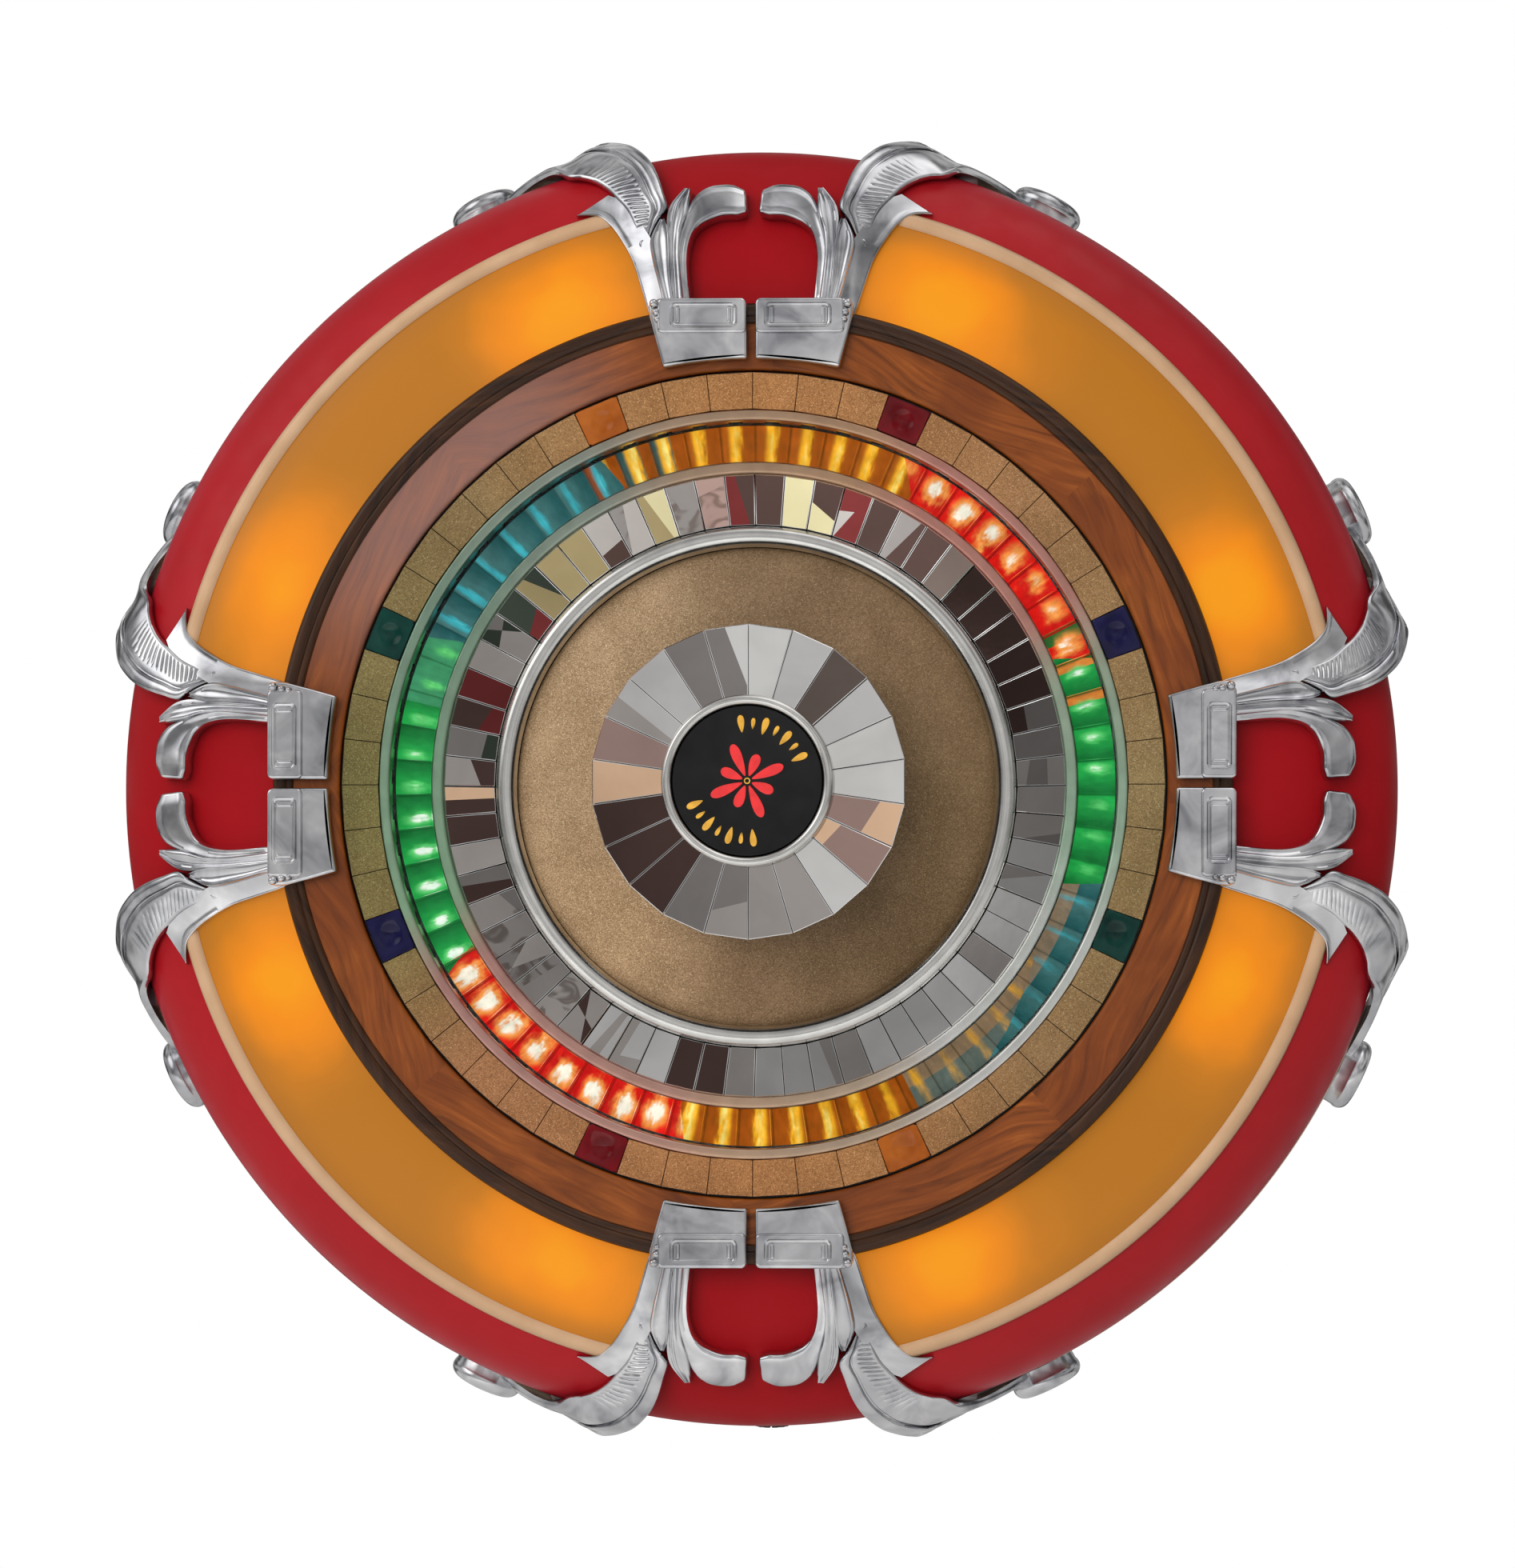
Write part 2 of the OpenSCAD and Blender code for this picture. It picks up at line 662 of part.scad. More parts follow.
// Where the points of the underside lie across the arm and across the other bands
arm_under = [1, 0.6, 0];
branch_under = [1, 0.5, 0];
arm_rows = [
    [[69, 67.5], [63.5, 66], 5, 6], [[73, 56], [57.5, 54], 7, 11], [[78, 46], [52.5, 46], 8, 13],
    [[85.5, 37.5], [55, 36], 8, 14], [[92, 31], [60.5, 23], 8, 14], [[99.5, 26], [69.5, 11.5], 8, 14],
    [[108, 23], [84.5, 1], 8, 14], [[116.5, 21.5], [104, -5], 8, 14]
];
// The arm goes on down the side as a strap: [degrees from the pair's middle, distance
// behind the widest plane] of both edges, and their heights above the cabinet
strap_rows = [
    [[18.5, -18], [17, 14], 7.5, 15], [[20, -4], [18.5, 30], 9.5, 13],
    [[22, 10], [20.5, 44], 9.5, 12], [[23.5, 21], [21.5, 54], 9.5, 11], [[24.5, 29], [22.5, 60], 9.5, 10]
];
petal_rows = [
    [[53.5, 106], [47, 105], 19, 19], [[57, 93.5], [49, 91], 15, 16], [[60.5, 80.5], [50, 76.5], 14, 15],
    [[62.5, 69], [50.5, 66], 13, 14.5], [[60.5, 61.5], [52, 58.5], 12, 13.5], [[57, 54], [54, 53], 11, 12]
];
leaf_rows = [
    [[49.5, 107], [40.5, 107], 18, 17], [[50.5, 90.5], [42.5, 90], 15, 13], [[51.5, 75.5], [43.5, 75], 14, 12],
    [[52, 62.5], [42.5, 60], 13, 11.5], [[52.5, 52], [39.5, 50.5], 12.5, 11.5],
    [[50, 43], [38.5, 41], 12, 10.5], [[42.5, 32.5], [38.5, 33], 10, 9]
];
hook_rows = [
    [[43.5, 107], [36.5, 107], 15, 12], [[45, 87.5], [38.5, 87], 12.5, 11], [[45.5, 75], [39, 77], 12.5, 11],
    [[44.5, 65], [38, 69.5], 12.5, 11], [[42.5, 56.5], [35.5, 63], 12.5, 11], [[39.5, 46], [31.5, 58], 12.5, 11],
    [[35.5, 37.5], [26, 55], 12.5, 11.5], [[28.5, 32], [19.5, 52.5], 12.5, 12], [[20.5, 30.5], [14, 52], 12.5, 12.5],
    [[13, 30.5], [9.5, 52], 12.5, 12.5], [[6.5, 33.5], [5, 50.5], 12, 12]
];
fin_rows = [
    [[60.5, 118], [50, 118], 14, 16], [[64, 109.5], [52, 108], 8.5, 14], [[68.5, 95], [55, 92], 6, 11],
    [[73.5, 79.5], [58, 78], 5, 10], [[80, 67], [62, 66], 4.5, 9], [[88, 55.5], [68, 56], 4.5, 8],
    [[97.5, 49], [75, 43], 4.5, 7], [[109.5, 48.5], [90, 35.5], 4.5, 6]
];
// How many steps a band takes from each row to the next. Every second section of the arm
// between these two is the groove between two cross ribs.
arm_steps = [1, 2, 5, 5, 5, 5, 5, 5, 1, 1, 1, 1];
branch_steps = 2;
first_groove = 4;
last_groove = 32;
groove_drop = 1.6;

function mid(a, b, f) = a + (b - a) * f;

// A point over the panels: its height above them is n
function face_point(p, n) =
    let(y = cabinet_r - p[1], f = (norm([p[0], y]) - wood_r) / (panel_r + n - wood_r))
    [p[0], y, rim_z + (panel_rise + n) * sqrt(1 - min(1, max(0, f) * abs(f)))];

// A point over the cabinet's side
function side_point(p, n) = let(r = cabinet_r + n) [r * sin(p[0]), r * cos(p[0]), rim_z - p[1]];

function face_section(row, section, under, low) = concat(
    [for (s = section) face_point(mid(row[0], row[1], s[0]), mid(row[2], row[3], s[0]) * rest_h + s[1])],
    [for (f = under) face_point(mid(row[0], row[1], f), low)]
);

function side_section(row, section, under, low) = concat(
    [for (s = section) side_point(mid(row[0], row[1], s[0]), mid(row[2], row[3], s[0]) * rest_h + s[1])],
    [for (f = under) side_point(mid(row[0], row[1], f), low)]
);

// A smooth curve through b and c, for lists of points
function curve(a, b, c, d, t) =
    (b * 2 + (c - a) * t + (a * 2 - b * 5 + c * 4 - d) * t * t + (b * 3 - a - c * 3 + d) * t * t * t) / 2;

function smooth(v, steps) = concat([for (i = [0:len(v) - 2], k = [0:steps[i] - 1])
    curve(v[max(0, i - 1)], v[i], v[i + 1], v[min(len(v) - 1, i + 2)], k / steps[i])], [v[len(v) - 1]]);

// A solid through a list of sections, each with its last point as the fan point of its cap
module loft(sections) {
    m = len(sections);
    k = len(sections[0]);
    walls = [for (i = [0:m - 2], j = [0:k - 1]) each [
        [i * k + j, i * k + (j + 1) % k, (i + 1) * k + j],
        [i * k + (j + 1) % k, (i + 1) * k + (j + 1) % k, (i + 1) * k + j]
    ]];
    first_cap = [for (j = [0:k - 3]) [k - 1, j + 1, j]];
    last_cap = [for (j = [0:k - 3]) [m * k - 1, (m - 1) * k + j, (m - 1) * k + j + 1]];
    polyhedron(points = [for (q = sections) each q], faces = concat(walls, first_cap, last_cap));
}

module branch(rows, section, low, steps) {
    loft(smooth([for (row = rows) face_section(row, section, branch_under, low)], [for (row = rows) steps]));
}

arm_sections = smooth(concat(
    [for (row = arm_rows) face_section(row, flat_section, arm_under, arm_gap)],
    [for (i = [0:len(strap_rows) - 1])
        side_section(strap_rows[i], flat_section, arm_under, i < 1 ? panel_proud + seat_gap : over_strip)]
), arm_steps);

// The points between a rib's ends lie lower in a groove
function ribbed(i) = [for (j = [0:len(arm_sections[i]) - 1]) let(p = arm_sections[i][j])
    i >= first_groove && i <= last_groove && i % 2 == 1 && j > 0 && j < 4
        ? p - groove_drop * p_away(p) : p];

// The direction away from the face at a point of the arm
function p_away(p) = let(v = [p[0], p[1], 2 * (p[2] - rim_z)] - [0, 300, 0]) v / norm(v);

module casting() {
    $fn = 24;
    difference() {
        union() {
            loft([for (i = [0:len(arm_sections) - 1]) ribbed(i)]);
            branch(petal_rows, round_section, seat_gap, branch_steps);
            branch(leaf_rows, round_section, over_base, branch_steps);
            branch(hook_rows, hook_section, over_base, 1);
            branch(fin_rows, fin_section, seat_gap, 1);
        }
        wood_seat();
        bead_seat();
    }
    casting_foot();
    scroll();
}

// The wood ring with a little room, as far as a casting reaches
module wood_seat() {
    translate([0, 0, flange_z - 5]) cylinder(r = wood_r + seat_gap, h = wood_h + 5 + gap, $fn = 144);
}

// The cream bead with a little room, where the fin's tip passes over its end
module bead_seat() {
    sweep(60, 76.4, $fn = 96) translate(dome(panel_r, panel_rise, bead_t)) rotate(bead_tilt)
        translate([-bead_w / 2 - seat_gap, -2]) square([bead_w + 2 * seat_gap, bead_h + bead_lift + 2 + gap]);
}

// A plate with cut corners and edges that slope in
module corner_plate(x0, y0, x1, y1, h) {
    hull() for (x = [x0 + 2, x1 - 2], y = [y0 + 2, y1 - 2])
        translate([x, y, 0]) cylinder(r1 = 2, r2 = 1.2, h = h, $fn = 4);
}

module casting_foot() {
    top = flange_z + foot_h;
    bottom = flange_z + wood_h + gap;
    difference() {
        translate([0, 0, bottom]) linear_extrude(height = top - bottom)
            polygon([[hook_x, from_bore(39.5)], [hook_x, from_bore(-13)], [53, from_bore(-13)],
                [54, from_bore(-2)], [61.5, from_bore(28)], [62, from_bore(36)], [56, from_bore(39.5)]]);
        translate([0, from_bore(7) - foot_arc_r, 0]) cylinder(r = foot_arc_r, h = 400, $fn = 120);
    }
    translate([0, 0, top - 0.5]) {
        difference() {
            corner_plate(8, from_bore(17), 51, from_bore(37.5), 2);
            translate([0, 0, 1]) corner_plate(10.5, from_bore(19.5), 48.5, from_bore(35), 2);
        }
        difference() {
            corner_plate(13.5, from_bore(21.5), 45, from_bore(33.5), 3);
            translate([0, 0, 2]) corner_plate(16, from_bore(24), 42.5, from_bore(31), 2);
        }
    }
}

// The scroll stands over the strip, on a boss that reaches down to the cabinet
module scroll() {
    r = scroll_r;
    h = scroll_h;
    low = over_strip - 0.1;
    rotate([0, 0, -scroll_deg]) translate([0, cabinet_r, rim_z - scroll_back]) rotate([-90, 0, 0])
        rotate_extrude($fn = 16) polygon([
            [scroll_screw_r + screw_fit, gap], [8, gap], [8, low], [r - 1, low], [r, h - 6], [r - 4, h - 0.5],
            [r - 10, h - 0.5], [r - 14, h - 7], [6, h - 7], [6, h - 2.5], [scroll_screw_r + screw_fit, h - 2.5]
        ]);
}

module casting_pair() {
    color("silver") {
        casting();
        mirror([1, 0, 0]) casting();
    }
}

module castings_top() faced() casting_pair();

module castings_right() faced() rotate([0, 0, -90]) casting_pair();

module castings_bottom() faced() rotate([0, 0, 180]) casting_pair();

module castings_left() faced() rotate([0, 0, 90]) casting_pair();

module casting_screws() {
    head_z = cabinet_r + scroll_h - 2.2;
    color("silver") faced() scroll_places() difference() {
        union() {
            translate([0, 0, cabinet_r - 14]) cylinder(r = scroll_screw_r, h = head_z - cabinet_r + 14);
            translate([0, 0, head_z]) cylinder(r = 4.4, h = 1.6);
        }
        translate([-6, -0.5, head_z + 0.6]) cube([12, 1, 2]);
    }
}

// Lamps: sixteen behind the glass ring, and two behind each amber panel

ring_lamp_n = 16;
arc_lamp_n = 8;
ring_lamp_r = 211;
arc_lamp_r = 317;
ring_lamp_z = light_floor_z + light_floor_t;
arc_lamp_z = ring_lamp_z + 30;
ring_bulb_r = 8;
arc_bulb_r = 11;
socket_r = 9;
socket_h = 20;

module bulb(r) {
    translate([0, 0, socket_h + 0.2]) cylinder(r = 6, h = 8);
    translate([0, 0, socket_h + 5 + r]) sphere(r = r);
}

module lamp_places(n, place_r, place_z) {
    for (i = [0:n - 1]) rotate([0, 0, (i + 0.5) * 360 / n]) translate([place_r, 0, place_z]) children();
}

module lamp_bulbs() {
    color("lightyellow") faced() {
        lamp_places(ring_lamp_n, ring_lamp_r, ring_lamp_z) bulb(ring_bulb_r);
        lamp_places(arc_lamp_n, arc_lamp_r, arc_lamp_z) bulb(arc_bulb_r);
    }
}

module lamp_sockets() {
    arm = arc_lamp_r - flange_bore_r - drum_t;
    color("gray") faced() {
        lamp_places(ring_lamp_n, ring_lamp_r, ring_lamp_z) cylinder(r = socket_r, h = socket_h);
        lamp_places(arc_lamp_n, arc_lamp_r, arc_lamp_z) {
            cylinder(r = socket_r, h = socket_h);
            translate([-arm + gap, -8, -3]) cube([arm + 6, 16, 3]);
            translate([-arm + gap, -8, -28]) cube([3, 16, 28]);
        }
    }
}

// Colour wheel: gels cut on a slant, glued on a metal rim that runs in three rollers

wheel_bore_r = 192;
gel_outer_r = wheel_r - 3;
wheel_lip_r = wheel_r - 8;
gel_z = wheel_z + wheel_t;
// Slanted cuts between the gels: [angle at the bore, angle at the rim]
gel_cuts = [[24, 20], [60, 67], [113, 116], [153, 156], [208, 212], [256, 259], [337, 303], [342, 345]];
cut_steps = 4;

// Points along a cut, from just inside the bore to just outside the rim
function cut_line(cut, turn) = [for (i = [0:cut_steps + 1]) let(f = (i - 0.5) / cut_steps)
    polar(wheel_bore_r + (gel_outer_r - wheel_bore_r) * f, cut[0] + (cut[1] - cut[0]) * f + turn)];

module wheel_rim() {
    color("silver") faced() ring(wheel_lip_r, wheel_r, wheel_z, wheel_z + wheel_t);
}

// The gel from cut i to the next one
module gel(i) {
    start = cut_line(gel_cuts[i], 0);
    stop = cut_line(gel_cuts[(i + 1) % 8], i == 7 ? 360 : 0);
    last = len(start) - 1;
    out = (start[last] + stop[last]) * 0.7;
    back = (start[0] + stop[0]) * 0.4;
    translate([0, 0, gel_z]) linear_extrude(height = gel_t) intersection() {
        difference() {
            circle(r = gel_outer_r);
            circle(r = wheel_bore_r);
        }
        polygon(concat(start, [out], reversed(stop), [back]));
    }
}

module gel_red() {
    color("red") faced() {
        gel(0);
        gel(4);
    }
}

module gel_amber() {
    color("orange") faced() {
        gel(1);
        gel(5);
    }
}

module gel_teal() {
    color("teal") faced() {
        gel(2);
        gel(6);
    }
}

module gel_green() {
    color("limegreen") faced() {
        gel(3);
        gel(7);
    }
}

roller_place_r = wheel_r + roller_r + roll_gap;
roller_deg = [90, 210, 330];
roller_side = 2.6;

module roller_places() {
    for (a = roller_deg) rotate([0, 0, a]) translate([roller_place_r, 0, 0]) children();
}

module roller(a) {
    groove = wheel_t + 0.8;
    low = wheel_z + wheel_t / 2 - groove / 2;
    color("khaki") faced() rotate([0, 0, a]) translate([roller_place_r, 0, 0]) difference() {
        union() {
            translate([0, 0, low - roller_side]) cylinder(r = roller_r + 2, h = roller_side);
            translate([0, 0, low - 0.5]) cylinder(r = roller_r, h = groove + 1);
            translate([0, 0, low + groove]) cylinder(r = roller_r + 2, h = roller_side);
        }
        translate([0, 0, wheel_z - 20]) cylinder(r = screw_r + run_gap, h = 40);
    }
}

module roller_1() roller(roller_deg[0]);

module roller_2() roller(roller_deg[1]);

module roller_3() roller(roller_deg[2]);

module roller_pins() {
    half = (wheel_t + 0.8) / 2 + roller_side + gap;
    mid = wheel_z + wheel_t / 2;
    collar_top = flange_z - carrier_drop;
    color("dimgray") faced() roller_places() {
        translate([0, 0, mid - half - 2]) cylinder(r = screw_r, h = collar_top + 5 - mid + half + 2);
        translate([0, 0, mid - half - 2]) cylinder(r = 4, h = 2);
        translate([0, 0, mid + half]) cylinder(r = 4, h = collar_top - mid - half);
    }
}

motor_h = 56;
motor_top_z = light_floor_z + light_floor_t + motor_h;

module drive_motor() {
    shaft_hole = 12;
    color("slategray") faced() translate([0, -motor_place_r, 0]) difference() {
        union() {
            translate([0, 0, motor_top_z - motor_h]) cylinder(r = motor_r, h = motor_h - 4);
            translate([0, 0, motor_top_z - 5]) cylinder(r = 8, h = 5);
        }
        translate([0, 0, motor_top_z - shaft_hole]) cylinder(r = 2.5 + run_gap, h = shaft_hole + 1);
    }
}

module drive_wheel() {
    low = wheel_z - 3.5;
    color("darkslategray") faced() translate([0, -motor_place_r, 0]) {
        translate([0, 0, motor_top_z - 10]) cylinder(r = 2.5, h = low - motor_top_z + 12);
        translate([0, 0, motor_top_z + gap]) cylinder(r = 5, h = low - motor_top_z - gap + 1);
        translate([0, 0, low]) cylinder(r = tyre_r, h = 9);
    }
}

// Loudspeaker, behind the baffle

flange_w = 16;
basket_r = speaker_r - flange_w;
cone_r = basket_r - surround_w;
magnet_z = baffle_z - basket_depth;
spider_z = magnet_z + 8;

module speaker_bolt_places() {
    for (i = [0:7]) rotate([0, 0, 22.5 + 45 * i]) translate([speaker_r - 6, 0, 0]) children();
}

module speaker_basket() {
    color("darkslategray") faced() difference() {
        rotate_extrude() polygon([
            [basket_r, baffle_z], [speaker_r, baffle_z], [speaker_r, baffle_z - 2],
            [basket_r + 2, baffle_z - 2], [basket_r + 2, baffle_z - 9], [56, magnet_z],
            [40, magnet_z], [40, magnet_z + 2], [50, magnet_z + 2], [50, spider_z],
            [62, spider_z], [basket_r, baffle_z - 9]
        ]);
        for (i = [0:5]) rotate([0, 0, 60 * i]) sweep(8, 52)
            translate([68, magnet_z + 12]) square([56, basket_depth - 22]);
        speaker_bolt_places() cylinder(r = screw_r + screw_fit, h = flange_z);
    }
}

module speaker_magnet() {
    back_z = magnet_z - 30;
    color("dimgray") faced() rotate_extrude() {
        polygon([[0, back_z], [magnet_r - 2, back_z], [magnet_r - 2, back_z + 6], [magnet_r, back_z + 6],
            [magnet_r, magnet_z - 6], [magnet_r - 2, magnet_z - 6], [magnet_r - 2, magnet_z],
            [plate_bore_r, magnet_z], [plate_bore_r, magnet_z - 6], [coil_r + 7, magnet_z - 6],
            [coil_r + 7, back_z + 6], [pole_r, back_z + 6], [pole_r, magnet_z], [0, magnet_z]]);
    }
}

module speaker_cone() {
    neck_z = magnet_z + 18;
    edge_z = baffle_z - 6;
    cap_round = coil_r + 8.8;
    cap_z = neck_z + 14 - cap_round;
    color("saddlebrown") faced() rotate_extrude() {
        polygon([[coil_r, neck_z], [coil_r + 1.5, neck_z - 1], [cone_r, edge_z - cone_t],
            [cone_r, edge_z], [coil_r, neck_z + cone_t + 0.5]]);
        intersection() {
            difference() {
                translate([0, cap_z]) circle(r = cap_round);
                translate([0, cap_z]) circle(r = cap_round - 1);
            }
            translate([0, neck_z + 1]) square([coil_r + 3, 30]);
        }
    }
}

module voice_coil() {
    color("peru") faced() ring(coil_r - coil_t, coil_r, magnet_z - 20, magnet_z + 18);
}

module speaker_surround() {
    roll = (basket_r - gap - cone_r - gap) / 2;
    color("black") faced() rotate_extrude() translate([cone_r + gap + roll, baffle_z - 7]) intersection() {
        difference() {
            circle(r = roll);
            circle(r = roll - 1);
        }
        translate([-roll, 0]) square([2 * roll, roll]);
    }
}

module speaker_spider() {
    color("goldenrod") faced() ring(coil_r + gap, 59, spider_z, spider_z + 1);
}

module speaker_bolts() {
    color("silver") faced() speaker_bolt_places() {
        translate([0, 0, baffle_z - 4]) cylinder(r = screw_r, h = baffle_t + 2);
        translate([0, 0, baffle_z - 5]) cylinder(r = 3.8, h = 3);
    }
}

// Electrics

module lamp_transformer() {
    color("dimgray") faced() translate([0, -118, drum_z]) {
        translate([-32, -22, 0]) cube([64, 44, 3]);
        translate([-25, -20, 3]) cube([50, 40, 42]);
        translate([-20, -26, 8]) cube([40, 52, 32]);
    }
}

module terminal_block() {
    screw_n = 4;
    pitch = 16;
    color("saddlebrown") faced() translate([terminal_x, terminal_y, back_recess]) difference() {
        union() {
            translate([-40, -11, -8]) cube([80, 22, 8 - gap / 3]);
            for (i = [0:screw_n - 1]) translate([(i - (screw_n - 1) / 2) * pitch, 0, -11]) cylinder(r = 4, h = 4);
        }
        for (i = [0:screw_n]) translate([(i - screw_n / 2) * pitch - 0.8, -12, -9]) cube([1.6, 24, 4]);
        for (s = [-1, 1]) translate([36.5 * s, 0, -9]) cylinder(r = screw_r, h = 12);
    }
}

// Room for the bend of the cabinet's wall beside the control's flat body
wall_room = 1.8;
module at_knob() translate([0, 0, knob_z]) rotate([90, 0, 0]) translate([0, 0, side_r(knob_z)]) children();

module volume_control() {
    color("silver") faced() at_knob() difference() {
        union() {
            translate([0, 0, -shell_t - 14]) cylinder(r = 12, h = 14 - wall_room);
            translate([0, 0, -shell_t - wall_room]) cylinder(r = 5, h = shell_t + wall_room + 3);
            translate([0, 0, 1]) cylinder(r = 8, h = 2, $fn = 6);
        }
        translate([0, 0, -shell_t - 8]) cylinder(r = knob_shaft_r + run_gap, h = 40);
    }
}

module volume_knob() {
    flutes = 12;
    color("saddlebrown") faced() at_knob() difference() {
        union() {
            translate([0, 0, -shell_t - 6]) cylinder(r = knob_shaft_r, h = shell_t + 12);
            translate([0, 0, 3.5]) cylinder(r = knob_r, h = knob_len);
        }
        for (i = [0:flutes - 1]) rotate([0, 0, 360 / flutes * i])
            translate([knob_r + 0.8, 0, 3]) cylinder(r = 1.6, h = knob_len + 2);
        translate([-0.6, 2, 3.5 + knob_len - 0.8]) cube([1.2, knob_r, 2]);
    }
}

cabinet_shell();
back_panel();
panel_screws();
hanger_rails();
outer_drum();
inner_drum();
light_floor();
baffle_board();
wood_ring();
tile_carrier();
gold_tiles();
amber_tiles();
red_tiles();
blue_tiles();
green_tiles();
trim_rings();
glass_blocks();
mirror_carrier();
mirror_tiles();
gold_dish();
grille_cloth();
cloth_ring();
disc_posts();
mirror_board();
mirror_wedges();
medallion_disc();
medallion_ring();
amber_panels();
red_panels();
cream_beads();
edge_strips();
castings_top();
castings_right();
castings_bottom();
castings_left();
casting_screws();
lamp_bulbs();
lamp_sockets();
wheel_rim();
gel_amber();
gel_red();
gel_green();
gel_teal();
roller_1();
roller_2();
roller_3();
roller_pins();
drive_motor();
drive_wheel();
speaker_basket();
speaker_magnet();
speaker_cone();
speaker_surround();
speaker_spider();
voice_coil();
speaker_bolts();
lamp_transformer();
terminal_block();
volume_control();
volume_knob();
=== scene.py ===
import random
import bmesh
import bpy
from math import acos, asin, atan, atan2, cos, degrees, hypot, pi, radians, sin, sqrt, tan
from mathutils import Matrix, Vector


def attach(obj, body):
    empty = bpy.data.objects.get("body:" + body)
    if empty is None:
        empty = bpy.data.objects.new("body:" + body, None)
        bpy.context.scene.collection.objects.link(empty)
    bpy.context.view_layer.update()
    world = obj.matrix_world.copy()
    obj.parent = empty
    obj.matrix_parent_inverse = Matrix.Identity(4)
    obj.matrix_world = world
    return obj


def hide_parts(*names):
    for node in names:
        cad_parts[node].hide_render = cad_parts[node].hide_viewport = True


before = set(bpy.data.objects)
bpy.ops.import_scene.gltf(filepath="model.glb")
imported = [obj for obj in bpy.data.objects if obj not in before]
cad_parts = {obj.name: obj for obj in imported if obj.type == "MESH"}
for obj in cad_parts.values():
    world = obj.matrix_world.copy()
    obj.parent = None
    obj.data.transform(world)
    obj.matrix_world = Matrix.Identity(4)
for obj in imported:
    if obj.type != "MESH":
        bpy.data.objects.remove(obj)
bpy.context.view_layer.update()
scene = bpy.context.scene
scene.view_settings.view_transform = "Standard"
print("frame loaded")


class Sizes(dict):  # a piece's numbers, to be read as sizes.name
    __getattr__ = dict.__getitem__


# Pieces are worked out in millimetres: x to the right, y up, z out from the wall. toWorld turns them into metres.
mm = 0.001
toWorld = Matrix(((mm, 0, 0, 0), (0, 0, -mm, 0), (0, mm, 0, 0), (0, 0, 0, 1)))
tau = 2 * pi
draws = random.Random(1948)


class Wire:  # one output in a shader tree, with arithmetic
    def __init__(self, tree, socket):
        self.tree = tree
        self.socket = socket

    def node(self, kind, settings=None, sockets=None, out=0):
        made = self.tree.nodes.new(kind)
        for key, value in (settings or {}).items():
            setattr(made, key, value)
        for key, value in (sockets or {}).items():
            if isinstance(value, Wire):
                self.tree.links.new(value.socket, made.inputs[key])
            else:
                made.inputs[key].default_value = value
        return Wire(self.tree, made.outputs[out])

    def calc(self, operation, *terms):
        return self.node("ShaderNodeMath", {"operation": operation}, dict(enumerate(terms or (self,))))

    def ramp(self, *stops):
        made = self.node("ShaderNodeValToRGB", None, {0: self})
        elements = made.socket.node.color_ramp.elements
        elements.remove(elements[1])
        for number, (position, colour) in enumerate(stops):
            element = elements.new(position) if number else elements[0]
            element.position = position
            element.color = (*colour, 1)[:4]
        return made

    def span(self, low, high, start=0.0, stop=1.0):  # goes smoothly from start at low to stop at high
        return self.node("ShaderNodeMapRange", {"interpolation_type": "SMOOTHSTEP"},
                         {"Value": self, "From Min": low, "From Max": high, "To Min": start, "To Max": stop})

    def mix(self, low, high):  # this wire is the share of high
        return self.node("ShaderNodeMix", {"data_type": "RGBA"}, {0: self, 6: low, 7: high}, 2)

    def tinted(self, other):  # channel by channel
        return self.node("ShaderNodeVectorMath", {"operation": "MULTIPLY"}, {0: self, 1: other})

    def dimmed(self, level):
        return self.node("ShaderNodeVectorMath", {"operation": "SCALE"}, {0: self, 3: level})

    def noise(self, scale, detail=3.0, roughness=0.5, warp=0.0):
        return self.node("ShaderNodeTexNoise", None,
                         {"Vector": self, "Scale": scale, "Detail": detail, "Roughness": roughness, "Distortion": warp})

    def cells(self, scale):  # a colour for each cell
        return self.node("ShaderNodeTexVoronoi", None, {"Vector": self, "Scale": scale}, 1)

    def axis(self, number):
        return self.node("ShaderNodeSeparateXYZ", None, {0: self}, number)

    def bump(self, strength, distance):
        return self.node("ShaderNodeBump", None, {"Height": self, "Strength": strength, "Distance": distance})

    def feeds(self, name):
        self.tree.links.new(self.socket, self.tree.nodes["Principled BSDF"].inputs[name])

    def joined(self, y, z=0):
        return self.node("ShaderNodeCombineXYZ", None, {0: self, 1: y, 2: z})

    def paints(self, low, high, start=0.3, stop=0.7):  # both colours as a screen shows them
        self.ramp((start, rgb(*low)), (stop, rgb(*high))).feeds("Base Color")

    def dents(self, scale, detail, strength, distance):
        self.noise(scale, detail).bump(strength, distance).feeds("Normal")


# Wires add, multiply and compare with signs, and a number can stand on either side
for sign, operation in (("add", "ADD"), ("sub", "SUBTRACT"), ("mul", "MULTIPLY"), ("truediv", "DIVIDE"), ("pow", "POWER"),
                        ("gt", "GREATER_THAN"), ("lt", "LESS_THAN")):
    setattr(Wire, f"__{sign}__", lambda self, other, operation=operation: self.calc(operation, self, other))
    if sign not in ("pow", "gt", "lt"):
        setattr(Wire, f"__r{sign}__", lambda self, other, operation=operation: self.calc(operation, other, self))


def rgb(red, green, blue):  # a colour as a screen shows it, in 0 to 255
    return tuple(((c / 255 + 0.055) / 1.055) ** 2.4 if c > 10 else c / 255 / 12.92 for c in (red, green, blue)) + (1,)


